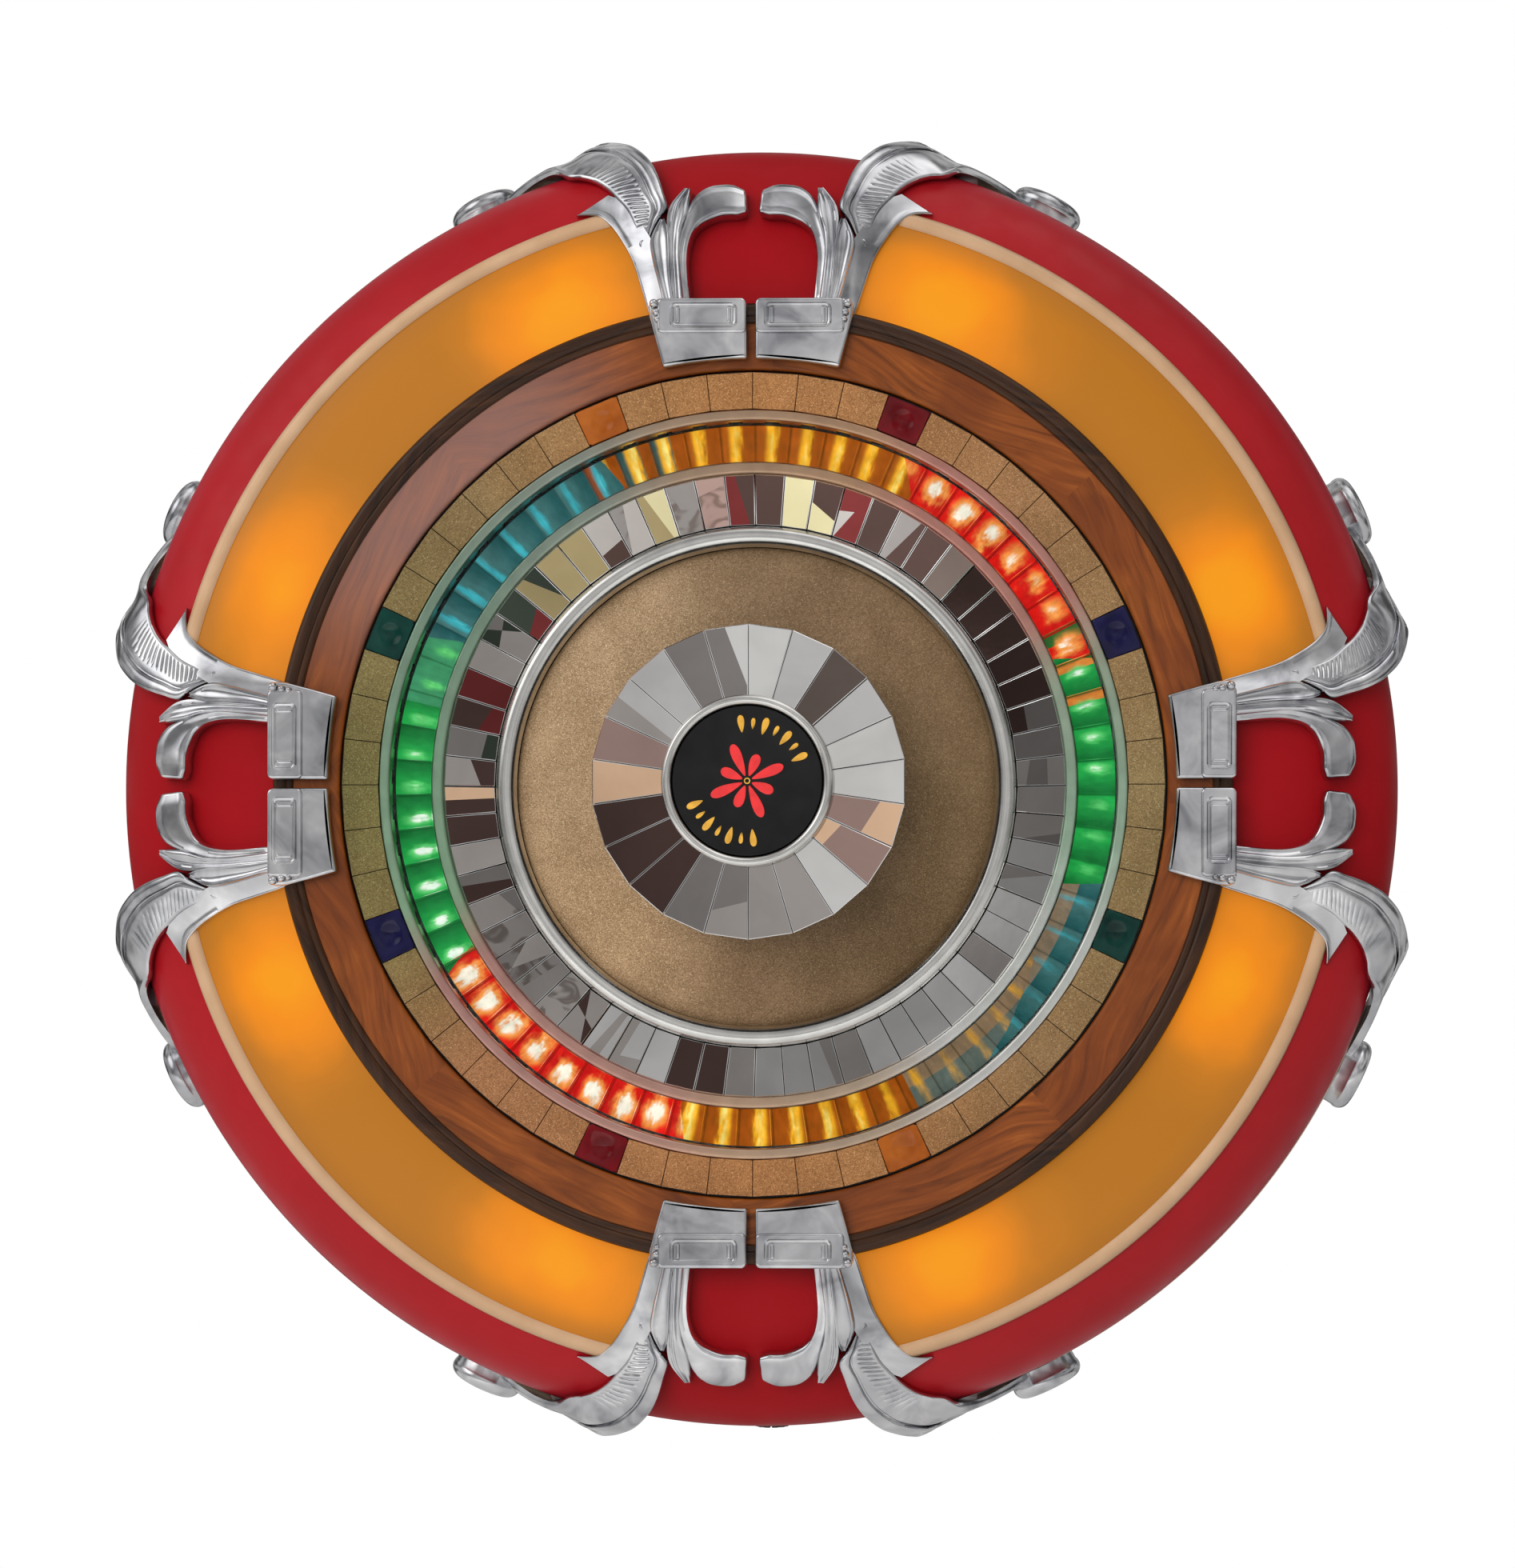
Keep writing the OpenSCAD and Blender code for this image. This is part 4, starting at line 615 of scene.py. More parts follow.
gelSheet("greenGel", (0.01, 0.05, 0.018, 1), greenDark, (0.015, 0.37, 0.065, 1), (0.12, 0.62, 0.17, 1), (0.92, 1, 0.88, 1),
         [(10, 27, 0.25, 2, (0.7, 0.2, 0.03, 1)), (153, 166, -1, 2, (0.05, 0.28, 0.13, 1))],
         at=0.22, wide=0.17, out=0.1, long=0.66, ragged=1.0)
gelSheet("tealGel", (0.01, 0.04, 0.045, 1), tealDark, (0.065, 0.175, 0.17, 1), (0.05, 0.47, 0.55, 1), (0.5, 0.95, 0.98, 1),
         [(112, 122, 0.2, 2, amberDark), (300, 345, -1, -0.1, brownish)],
         at=0.3, wide=0.13, out=0, long=1.6, ragged=0.5)

# Plain finishes: colour, how much it varies, roughness, metallic, grain size in mm, bump, and the frame's nodes that get it
nodeFinishes = {
    "light_floor": "chamberFloor", "disc_posts": "plainTrim", "lamp_bulbs": "bulbGlass",
    "gel_amber": "amberGel", "gel_red": "redGel", "gel_green": "greenGel",
    "gel_teal": "tealGel",
}
plainFinishes = [
    ("backBoard", (112, 84, 56), 0.22, 0.85, 0, 1.2, 0.35, "back_panel"),
    ("brassScrew", (178, 140, 78), 0.12, 0.3, 1, 2, 0.05, "panel_screws"),
    ("railPaint", (62, 64, 66), 0.15, 0.5, 0, 1.5, 0.12, "hanger_rails"),
    ("whiteBoard", (224, 222, 214), 0.05, 0.7, 0, 2, 0.1, "outer_drum inner_drum"),
    ("baffleWood", (172, 134, 88), 0.25, 0.75, 0, 1.4, 0.3, "baffle_board cloth_ring"),
    ("blackBoard", (20, 19, 18), 0.3, 0.6, 0, 2, 0.1, "mirror_board"),
    ("steelScrew", (182, 184, 188), 0.1, 0.25, 1, 3, 0.05, "casting_screws speaker_bolts"),
    ("socketBrass", (164, 132, 76), 0.2, 0.4, 1, 2, 0.1, "lamp_sockets"),
    ("wheelMetal", (168, 170, 172), 0.12, 0.35, 1, 3, 0.05, "wheel_rim"),
    ("rollerNylon", (216, 208, 184), 0.06, 0.5, 0, 2, 0.05, "roller_1 roller_2 roller_3"),
    ("pinSteel", (150, 152, 156), 0.1, 0.3, 1, 2, 0.05, "roller_pins"),
    ("motorPaint", (88, 94, 100), 0.15, 0.45, 0, 2, 0.12, "drive_motor"),
    ("tyreRubber", (30, 29, 28), 0.2, 0.8, 0, 1, 0.2, "drive_wheel"),
    ("basketPaint", (52, 56, 58), 0.18, 0.5, 0, 1.5, 0.15, "speaker_basket"),
    ("magnetIron", (96, 98, 102), 0.2, 0.45, 0.9, 2, 0.12, "speaker_magnet"),
    ("conePaper", (62, 50, 38), 0.25, 0.9, 0, 0.7, 0.4, "speaker_cone"),
    ("surroundCloth", (28, 26, 24), 0.3, 0.9, 0, 0.6, 0.4, "speaker_surround"),
    ("spiderCloth", (176, 140, 84), 0.2, 0.85, 0, 0.6, 0.4, "speaker_spider"),
    ("coilCopper", (176, 104, 64), 0.15, 0.35, 1, 0.5, 0.3, "voice_coil"),
    ("transformerIron", (74, 74, 76), 0.25, 0.55, 0.5, 1.5, 0.2, "lamp_transformer"),
    ("terminalBakelite", (72, 42, 26), 0.2, 0.35, 0, 2, 0.08, "terminal_block"),
    ("controlPlate", (176, 178, 180), 0.1, 0.32, 1, 2, 0.06, "volume_control"),
    ("knobBakelite", (58, 34, 22), 0.2, 0.28, 0, 2, 0.05, "volume_knob"),
]
for name, colour, spread, roughness, metallic, size, bump, nodes in plainFinishes:
    place = newFinish(name, Metallic=metallic)
    low, high = [c * (1 - spread) for c in colour], [min(255, c * (1 + spread)) for c in colour]
    place.noise(1000 / size / 4, 4, 0.6).paints(low, high)
    place.noise(220, 3).span(0.3, 0.7, roughness * 0.85, min(1, roughness * 1.15)).feeds("Roughness")
    place.dents(1000 / size, 2, bump, size * mm * 0.2)
    nodeFinishes.update({node: name for node in nodes.split()})
print("finishes made:", len(finishes))


# Cabinet: a red bowl with four openings behind the panels

bowl = Sizes(wall=3.0, rearEdge=1.4, lipZ=22.3, lipWidth=12.0, lipHeight=3.0)
outer = [(sideR(z), z) for z in [rimZ * i / 16 for i in range(17)]]
outer += domeLine(cabinetR, form.faceRise, 2, 90)
inner = [(r - bowl.wall, z) for r, z in outer[:17]] + domeLine(cabinetR - bowl.wall, form.faceRise - bowl.wall, 2, 90)
bowlLine = outer + [(form.flangeBoreR, flangeZ), (form.flangeBoreR, flangeZ - bowl.wall)] + inner[::-1]
shape = Shape()
shape.lathe(bowlLine, steps=360)
lip = sideR(bowl.lipZ) - bowl.wall
shape.lathe([(lip - bowl.lipWidth, bowl.lipZ), (lip + 0.6, bowl.lipZ),
             (lip + 0.6, bowl.lipZ + bowl.lipHeight), (lip - bowl.lipWidth, bowl.lipZ + bowl.lipHeight)])
cabinetBowl = makePiece("cabinetBowl", "redLacquer", shape, stands="cabinet_shell")
cutter = Shape()
cutter.quarters([(woodR + 4, rimZ - form.skirt), (cabinetR + 20, rimZ - form.skirt), (cabinetR + 20, flangeZ + 20),
                 (woodR + 4, flangeZ + 20)], form.pilasterDeg, 72)
cutter.loft([[(-9, y, -2), (9, y, -2), (9, y, 8), (-9, y, 8)] for y in (-420, -360)])  # a notch at the bottom of the back edge
cutMesh = bpy.data.meshes.new("panelOpenings")
cutMesh.from_pydata(cutter.points, [], cutter.faces)
cleaned(cutMesh)
cutPiece = addObject("panelOpenings", cutMesh)
cut = cabinetBowl.modifiers.new("openings", "BOOLEAN")
cut.operation = "DIFFERENCE"
cut.solver = "EXACT"
cut.object = cutPiece
bpy.context.view_layer.update()
cutResult = bpy.data.meshes.new_from_object(cabinetBowl.evaluated_get(bpy.context.evaluated_depsgraph_get()))
cabinetBowl.modifiers.clear()
cabinetBowl.data = cutResult
bpy.data.objects.remove(cutPiece)
cutResult.set_sharp_from_angle(angle=radians(35))
print("cabinet made")


# Panels and the beads between them

panels = Sizes(beadWeb=2.0, gap=0.3, edgeRound=0.7, beadW=10.4, beadH=3.4, beadLift=0.4,
               beadFrom=14.0, stripFrom=19.5, stripR=403.4, stripH=14.0)


def panelBand(shape, start, stop, foot):  # a curved band of the face between two angles of its section
    outer = domeLine(panelR, panelRise, start, stop, 40)
    inner = domeLine(panelR - form.panelT, panelRise - form.panelT, start, stop, 40)
    line = foot + outer + inner[::-1] + [(r - form.panelT, z) for r, z in foot[::-1]]
    line = rounded(line, [panels.edgeRound if i in (0, len(foot) + 40) else 0 for i in range(len(line))], 4)
    shape.quarters(line, form.panelDeg)


shape = Shape()
panelBand(shape, domeAngle(panelR, form.beadR - panels.beadWeb / 2 - panels.gap), 89.8, [])
makePiece("amberPanels", "amberPlastic", shape)
shape = Shape()
footZ = rimZ - form.skirt + panels.gap
panelBand(shape, 0, domeAngle(panelR, form.beadR + panels.beadWeb / 2 + panels.gap), [(panelR, footZ)])
makePiece("redPanels", "redPlastic", shape)

beadAngle = domeAngle(panelR, form.beadR)
beadTilt = -atan(panelRise * cos(radians(beadAngle)) / ((panelR - woodR) * sin(radians(beadAngle))))
beadPlace = Vector(domePoint(panelR, panelRise, beadAngle))
halfW, high = panels.beadW / 2, panels.beadH
beadRound = (halfW ** 2 + high ** 2) / (2 * high)
reach = degrees(asin(min(1, halfW / beadRound)))
beadLine = arc(0, panels.beadLift + high - beadRound, beadRound, 90 - reach, 90 + reach, 20)
beadLine += [(-0.9, panels.beadLift), (-0.9, -5), (0.9, -5), (0.9, panels.beadLift)]
beadLine = [tuple(beadPlace + Matrix.Rotation(beadTilt, 2) @ Vector(p)) for p in beadLine]
shape = Shape()
shape.quarters(beadLine, panels.beadFrom)
makePiece("creamBeads", "creamPlastic", shape, sharp=50)

stripZ = rimZ - form.skirt - panels.gap - panels.stripH
stripLine = rounded([(cabinetR + 0.3, stripZ), (panels.stripR, stripZ), (panels.stripR, stripZ + panels.stripH),
                     (cabinetR + 0.3, stripZ + panels.stripH)], [0.4, 2.8, 2.8, 0.4])
shape = Shape()
shape.quarters(stripLine, panels.stripFrom)
makePiece("edgeStrips", "stripPlastic", shape)
print("panels made")


# Wood ring: a sloped field inside a double bead

wood = Sizes(bead=4.8, smallBead=2.6, field=12.4, fieldDrop=3.0, lipIn=1.7, lipHigh=5.2)
bead, topZ, boreR = wood.bead, flangeZ + form.woodH, form.woodBoreR - wood.lipIn
woodLine = [(boreR, flangeZ + wood.lipHigh), (boreR, flangeZ), (woodR - 0.5, flangeZ), (woodR, flangeZ + 0.5)]
woodLine += arc(woodR - bead, topZ - bead, bead, 0, 158, 16)
woodLine += arc(woodR - 2 * bead - 0.5, topZ - wood.smallBead - 0.7, wood.smallBead, 40, 172, 10)
woodLine += [(woodR - 12.8, flangeZ + wood.field), (form.woodBoreR + 3, flangeZ + wood.field - wood.fieldDrop)]
woodLine += arc(form.woodBoreR + 0.9, flangeZ + 6.6, 2.6, 90, 180, 6)
turnedPiece("woodRing", "ringWood", woodLine, 360, 40)


# Tile ring: 48 gold flecked tiles and eight of coloured glass

tiles = Sizes(count=56, outerR=250.0, innerR=228.0, joint=0.4, thick=3.0, edge=0.35, dimple=1.8, dimpleR=7.6)
glassOrder = ["blueTiles", "redTiles", "amberTiles", "greenTiles"]
shapes = {key: Shape() for key in ["goldTiles"] + glassOrder}
for i in range(tiles.count):
    kind = "goldTiles" if (i - 3) % 7 else glassOrder[((i - 3) // 7) % 4]
    outline = wedge(tiles.innerR, tiles.outerR, tiles.count, tiles.joint)
    spin = turned((i + 0.5) * 360 / tiles.count)
    top = form.tileZ + tiles.thick
    if kind == "goldTiles":
        sink = draws.uniform(0, 0.35)
        slab(shapes[kind], outline, form.tileZ, top - sink, tiles.edge, spin)
        continue
    middle = (tiles.innerR + tiles.outerR) / 2  # a pressed round hollow, joined to the square edge
    halfLong, halfIn, halfOut = (tiles.outerR - tiles.innerR) / 2, abs(outline[0][1]), abs(outline[1][1])
    loops = []
    for share, dip in ((0, -1.0), (0, -tiles.edge), (0.06, 0), (1, 0)):
        loop = []
        for k in range(48):
            a = tau * k / 48
            c, s = cos(a), sin(a)
            fit = min(halfLong / max(abs(c), 1e-6), midway(halfIn, halfOut, 0.5 + 0.5 * c) / max(abs(s), 1e-6))
            reachOut = midway(fit, tiles.dimpleR, share)
            loop.append((middle + reachOut * c, reachOut * s, top + dip))
        loops.append(loop)
    loops[0] = [(x, y, form.tileZ) for x, y, z in loops[1]]
    for k in range(1, 7):
        t = k / 6
        dip = tiles.dimple * sin(t * pi / 2)
        loops.append([(midway(x, middle, t), midway(y, 0, t), top - dip) for x, y, z in loops[3]])
    shapes[kind].loft(loops, spin)
makePiece("goldTiles", "goldGlass", shapes["goldTiles"])
for colour in ("amber", "red", "blue", "green"):
    makePiece(colour + "Tiles", colour + "Tile", shapes[colour + "Tiles"])


# The carrier under the tiles has only a narrow ledge for the blocks, so that little of it shows through them
tileBoard = Sizes(ledgeR=220.5, seatR=227.5, outerR=251.0, low=205.0)
boardR = form.flangeBoreR - 0.3
turnedPiece("tileCarrier", "blackBoard", [
    (tileBoard.ledgeR, tileBoard.low), (boardR, tileBoard.low), (boardR, flangeZ), (tileBoard.outerR, flangeZ),
    (tileBoard.outerR, form.tileZ), (tileBoard.seatR, form.tileZ), (tileBoard.seatR, form.ledgeZ),
    (tileBoard.ledgeR, form.ledgeZ)])

# The mirrors' carrier reaches just under the blocks' inner ends, for the same reason
mirrorBoard = Sizes(boreR=147.8, wallR=188.0, ledgeR=198.2, trimR=190.2, seatR=160.5, low=190.0, thick=2.5,
                    ledgeLow=203.5, seatTop=205.6, seatLow=196.0)
floorTop = mirrorBoard.low + mirrorBoard.thick
turnedPiece("mirrorCarrier", "blackBoard", [
    (mirrorBoard.boreR, mirrorBoard.low), (mirrorBoard.wallR, mirrorBoard.low), (mirrorBoard.wallR, mirrorBoard.ledgeLow),
    (mirrorBoard.ledgeR, mirrorBoard.ledgeLow), (mirrorBoard.ledgeR, form.ledgeZ), (mirrorBoard.trimR, form.ledgeZ),
    (mirrorBoard.trimR, mirrorBoard.seatTop), (mirrorBoard.seatR, mirrorBoard.seatLow), (mirrorBoard.seatR - 1, floorTop),
    (mirrorBoard.boreR, floorTop)])


# Bright trim: a thin round ring on both sides of the glass (inner and outer radius, top), and the heavy one round the dish

trim = Sizes(outer=(221.5, 227.9, 221.6), inner=(190.2, 197.4, 213.6),
             heavyR=154.1, heavyZ=196.5, heavyRound=6.0, heavyWide=1.12)
shape = Shape()
for innerR, outerR, top in (trim.outer, trim.inner):
    wide = outerR - innerR
    crown = [(outerR, top - 0.9), (outerR - 0.5, top - 0.3), (outerR - 1.3, top), (outerR - 0.4 * wide, top - 0.05)]
    for i in range(3, 13):
        t = pi / 24 * i
        crown.append((innerR + wide * (0.42 - 0.42 * sin(t)), top - 0.05 - 1.7 * (1 - cos(t))))
    shape.lathe([(innerR, form.ledgeZ), (outerR, form.ledgeZ)] + crown, steps=360)
heavyLine = arc(trim.heavyR, trim.heavyZ, trim.heavyRound, -40, 220, 30)
shape.lathe([(trim.heavyR + (x - trim.heavyR) * trim.heavyWide, y) for x, y in heavyLine], steps=360)
makePiece("trimRings", "brightTrim", shape, sharp=60)


# Glass ring: 63 pressed blocks, each a lens across its width

blocks = Sizes(count=63, outerR=221.45, innerR=197.6, joint=0.3, height=8.2, crown=1.5, edge=0.7)
across, along = 14, 8
points, faces = [], []
for j in range(along + 1):
    r = midway(blocks.innerR, blocks.outerR, 0.5 - 0.5 * cos(pi * (j / along)))
    width = r * tan(pi / blocks.count) - blocks.joint / 2
    edge = min(r - blocks.innerR, blocks.outerR - r)
    for k in range(across + 1):
        s = sin(pi / 2 * (2 * k / across - 1))
        drop = blocks.crown * s * s
        if edge < blocks.edge:
            drop += blocks.edge - sqrt(max(0, blocks.edge ** 2 - (blocks.edge - edge) ** 2))
        points.append((r, s * width, form.blockZ + blocks.height - drop))
row = across + 1
for j in range(along):
    for k in range(across):
        a = j * row + k
        faces.append((a, a + 1, a + row + 1, a + row))
rim = list(range(row)) + [j * row + across for j in range(1, along + 1)]
rim += [along * row + k for k in range(across - 1, -1, -1)] + [j * row for j in range(along - 1, 0, -1)]
base = len(points)
points += [(points[p][0], points[p][1], form.blockZ) for p in rim]
for n in range(len(rim)):
    m = (n + 1) % len(rim)
    faces.append((rim[n], rim[m], base + m, base + n))
faces.append(tuple(base + n for n in range(len(rim))))
shape = Shape()
for i in range(blocks.count):
    shape.add(points, faces, turned(90 + (i + 0.5) * 360 / blocks.count))
makePiece("glassBlocks", "clearGlass", shape, sharp=50)
print("rings made")


# Mirror tiles: none sits quite like the next, and each has another part of the room painted on it as reflection

mirrors = Sizes(count=64, outerR=190.0, innerR=160.5, drop=9.54, thick=3.0, edge=0.45, tilt=1.4)
# The painted reflections on the mirrors, a letter for each colour; a capital for its busier kind
colours = {"w": (228, 228, 226), "s": (212, 211, 210), "g": (180, 174, 170), "l": (144, 139, 137), "i": (84, 66, 62),
           "r": (118, 52, 52), "b": (216, 207, 164), "t": (166, 150, 110), "p": (252, 210, 174), "n": (108, 96, 90),
           "m": (176, 148, 140), "o": (64, 72, 64)}
tints = {letter: rgb(*colour) for letter, colour in colours.items()}
tints.update({letter.upper(): (*tints[letter][:3], 0.0) for letter in "lmgt"})
roomViews = """12 gl 17 li 44 ii 50 nl 56 ii 62 li 67 ii 73 rgr 79 bi 84 bb 90 ibr 95 rim 101 Mm 106 Ll 112 bt 118 Lg 124 ibg
    129 tt 135 Tt 140 to 146 oro 152 gol 157 rg 168 rir 174 ool 179 gil 185 Mip 190 rli 195 gg 201 lil 228 GLg 234 gig
    246 sg 251 ss 262 ii 268 gg 285 sgs 290 sig 318 ss 346 ssg 357 gl 360 gg""".split()  # each up to an angle
roomViews = [(int(roomViews[i]), roomViews[i + 1]) for i in range(0, len(roomViews), 2)]
slope = atan(mirrors.drop / (mirrors.outerR - mirrors.innerR))
length = (mirrors.outerR - mirrors.innerR) / cos(slope)


def leaned(tilt, share):
    return Matrix.Rotation(radians(draws.uniform(-1, 1) * tilt), 4, "X") \
        @ Matrix.Rotation(radians(draws.uniform(-share, share) * tilt), 4, "Y")


def roomCuts(x0, x1, half, chance):
    made = []
    while len(made) < 2 and draws.random() < chance:
        made.append(((draws.uniform(midway(x0, x1, 0.2), midway(x0, x1, 0.8)), draws.uniform(-0.5, 0.5) * half),
                     draws.uniform(-0.5, 0.5) + (0 if draws.random() < 0.6 else pi / 2)))
        chance *= 0.6
    return made


shape = Shape()
for i in range(mirrors.count):
    angle = (90 + (i + 0.5) * 360 / mirrors.count) % 360
    views = [tints[letter] for letter in next(v for high, v in roomViews if angle < high)]
    widths = [r * tan(pi / mirrors.count) - 0.25 for r in (mirrors.innerR, mirrors.outerR)]
    outline = [(-length, -widths[0]), (0, -widths[1]), (0, widths[1]), (-length, widths[0])]
    spin = turned(angle) @ Matrix.Translation((mirrors.outerR, 0, form.mirrorTopZ - 0.4)) @ Matrix.Rotation(-slope, 4, "Y")
    lean = Matrix.Translation((-length / 2, 0, 0)) @ leaned(mirrors.tilt, 0.5) @ Matrix.Translation((length / 2, 0, 0))
    lively = (0.8 if angle < 250 else 0.35) if len(set(views)) > 1 else 0
    views = [views[(n + i) % len(views)] for n in range(3)]
    cuts = roomCuts(-length, 0, widths[0], lively)
    mirrorTile(shape, outline, -mirrors.thick + 0.5, mirrors.edge, spin @ lean, views, cuts)
makePiece("mirrorTiles", "mirrorGlass", shape, smooth=False)


# Gold dish behind the floating disc, and the cloth in its opening

dish = Sizes(outerR=147.4, rise=27.0, throatR=66.0, thick=2.0, wallZ=180.0)


def dishZ(r):
    return flangeZ - 21.5 + dish.rise * (1 - (r / dish.outerR) ** 2)


dishLine = [(r, dishZ(r)) for r in (midway(dish.outerR, dish.throatR + 1, i / 40) for i in range(41))]
lipLine = arc(dish.throatR + 1, dishZ(dish.throatR) - 1, 1, 90, 180, 5)
underLine = [(r, z - dish.thick) for r, z in dishLine[::-1]]
throat = dishZ(dish.throatR) - 5
turnedPiece("goldDish", "goldPaint", dishLine + lipLine + [(dish.throatR, throat), (dish.throatR + 3, throat)]
            + [p for p in underLine if dish.throatR + 3 < p[0] < dish.outerR - 2.4]
            + [(dish.outerR - 2.4, dish.wallZ), (dish.outerR, dish.wallZ)])

cloth = Sizes(radius=71.8, low=207.95, thick=0.6)
grilleCloth = turnedPiece("grilleCloth", "grilleWeave", [
    (0, cloth.low), (cloth.radius, cloth.low), (cloth.radius, cloth.low + cloth.thick),
    (0, cloth.low + cloth.thick)], 96)


# Mirror wedges of the floating disc

wedges = Sizes(count=22, outerR=94.5, innerR=46.0, joint=0.4, thick=3.0, edge=0.45, tilt=0.8)
wedgeViews = "lw ll sg gs mg pp in ii io lg gl gg gs ww mp pm ww ws sw ni sg wg".split()  # their painted reflections, anticlockwise from the top
shape = Shape()
for i in range(wedges.count):
    angle = (90 + (i + 0.5) * 360 / wedges.count) % 360
    views = [tints[letter] for letter in wedgeViews[i]]
    outline = wedge(wedges.innerR, wedges.outerR * cos(pi / wedges.count), wedges.count, wedges.joint)
    middle = (wedges.innerR + wedges.outerR) / 2
    spin = turned(angle) @ Matrix.Translation((middle, 0, form.discFaceZ - 0.3)) \
        @ leaned(wedges.tilt, 0.4) @ Matrix.Translation((-middle, 0, 0))
    mirrorTile(shape, outline, -wedges.thick + 0.6, wedges.edge, spin, [views[0], views[1], views[0]],
               roomCuts(wedges.innerR, wedges.outerR, 8, 0.4))
makePiece("mirrorWedges", "mirrorGlass", shape, smooth=False)


# Medallion: a black disc with a red rosette and two arcs of gold drops, inside a round ring

medal = Sizes(discR=44.8, faceZ=260.3, backZ=249.7, ringR=51.4, ringW=6.0, ringTop=263.0, relief=0.5, sunk=0.4,
              petals=8, petalFrom=3.0, petalTo=23.5, petalW=8.6, shortPetal=0.72,
              dotR=34.5, dots=7, dotSpread=12.0, dotSize=3.0, eyeR=1.9, eyeBore=1.2)
turnedPiece("medallionDisc", "medalBlack", rounded([
    (0, medal.backZ), (medal.discR, medal.backZ), (medal.discR, medal.faceZ), (0, medal.faceZ)],
    [0, 0.3, 0.6, 0]), 128)
half = medal.ringW / 2
turnedPiece("medallionRing", "plainTrim", [
    (medal.ringR - medal.ringW, form.discFaceZ + 0.1), (medal.ringR, form.discFaceZ + 0.1)]
    + arc(medal.ringR - half, medal.ringTop - half, half, 0, 180, 16), 192, 60)


def drop(shape, x0, x1, width, spin):  # a long drop along +x on the disc's face, round at its far end
    outline = []
    for k in range(24):
        t = tau * k / 24
        share = 0.5 + 0.5 * cos(t)
        outline.append((midway(x0, x1, share), width / 2 * sin(t) * (0.35 + 0.65 * share)))
    slab(shape, outline, medal.faceZ - medal.sunk, medal.faceZ + medal.relief, 0.3, spin)


shape = Shape()
for i in range(medal.petals):
    drop(shape, medal.petalFrom, medal.petalTo * (medal.shortPetal if i % 2 else 1), medal.petalW,
         turned(360 / medal.petals * (i + 0.5)))
makePiece("rosette", "redEnamel", shape)
shape = Shape()
for side in (60, 240):
    for i in range(medal.dots):
        angle = side + (i - (medal.dots - 1) / 2) * medal.dotSpread
        size = medal.dotSize * (1.25 if i % 2 == 0 else 0.8)
        spin = turned(angle) @ Matrix.Translation((medal.dotR, 0, 0))
        drop(shape, -size * 1.5, size * 1.3, size * 1.5, spin)
low, high = medal.faceZ - medal.sunk, medal.faceZ + 0.4
shape.lathe(rounded([(medal.eyeBore, low), (medal.eyeR, low), (medal.eyeR, high), (medal.eyeBore, high)], 0.1), steps=32)
makePiece("goldDrops", "goldEnamel", shape)
print("centre made")


# Castings. One is worked out for the right of the top pair, in its own terms: x to the right of
# the pair's middle, and an inset counted in from the cabinet's radius. A row runs across a band: both
# terms of its far edge, both of its near edge, then the height of each edge above the panels. The strap's
# rows lie on the cabinet's side: degrees round it and millimetres back from the rim, in place of x and inset.

casting = Sizes(ribs=18, ribFrom=0.6, ribTo=6.2, ribDeep=1.2, footTop=236.0, footLow=229.3, arcR=265.0,
                scrollDeg=25.7, scrollR=23.0, scrollH=22.5, scrollZ=118.0)
armRows = [
    (69, 67.5, 63.5, 66, 5, 6), (73, 56, 57.5, 54, 7, 11), (78, 46, 52.5, 46, 8, 13), (85.5, 37.5, 55, 36, 8, 14),
    (92, 31, 60, 22, 8, 14), (99.5, 26, 67.5, 10, 8, 14), (108, 23, 80.5, -1, 8, 14), (116.5, 21.5, 101, -6, 8, 14)]
strapRows = [
    (18.3, -18, 17, 14, 8, 15.5), (20.2, -4, 18.6, 30, 11, 14.5), (22.2, 10, 20.4, 44, 11.5, 14),
    (23.6, 22, 21.6, 56, 11.5, 13), (24.6, 30, 22.8, 64, 11.5, 12)]
petalRows = [
    (53.5, 106, 47, 105, 19, 19), (57, 93.5, 49, 91, 15, 16), (60.5, 80.5, 50, 76.5, 14, 15),
    (62.5, 69, 50.5, 66, 13, 14.5), (60.6, 61.5, 51.8, 58.5, 12, 13.5), (56.8, 54, 54, 53, 11, 12)]
leafRows = [
    (49.5, 107, 40.5, 107, 18, 17), (50.5, 90.5, 42.4, 90, 15, 13), (51.5, 75.5, 43.5, 75, 14, 12),
    (52, 62.5, 42.5, 60, 13, 11.5), (52.5, 52, 39.5, 50.5, 12.5, 11.5), (50, 43, 38.6, 41, 12, 10.5),
    (42.4, 32.5, 38.6, 33, 10, 9)]
hookRows = [
    (43.5, 107, 36.6, 107, 15, 12), (45, 87.5, 38.6, 87, 12.5, 11), (45.5, 75, 38.8, 77, 12.5, 11),
    (44.4, 65, 37.8, 69.4, 12.5, 11), (42.4, 56.5, 35.6, 63, 12.5, 11), (39.5, 46, 31.6, 58, 12.5, 11),
    (35.4, 37.5, 26, 54.8, 12.5, 11.5), (28.5, 32, 19.5, 52.5, 12.5, 12), (20.5, 30.3, 14, 52, 12.5, 12.5),
    (13, 30.6, 9.5, 52, 12.5, 12.5), (6.5, 33.5, 5, 50.5, 12, 12)]
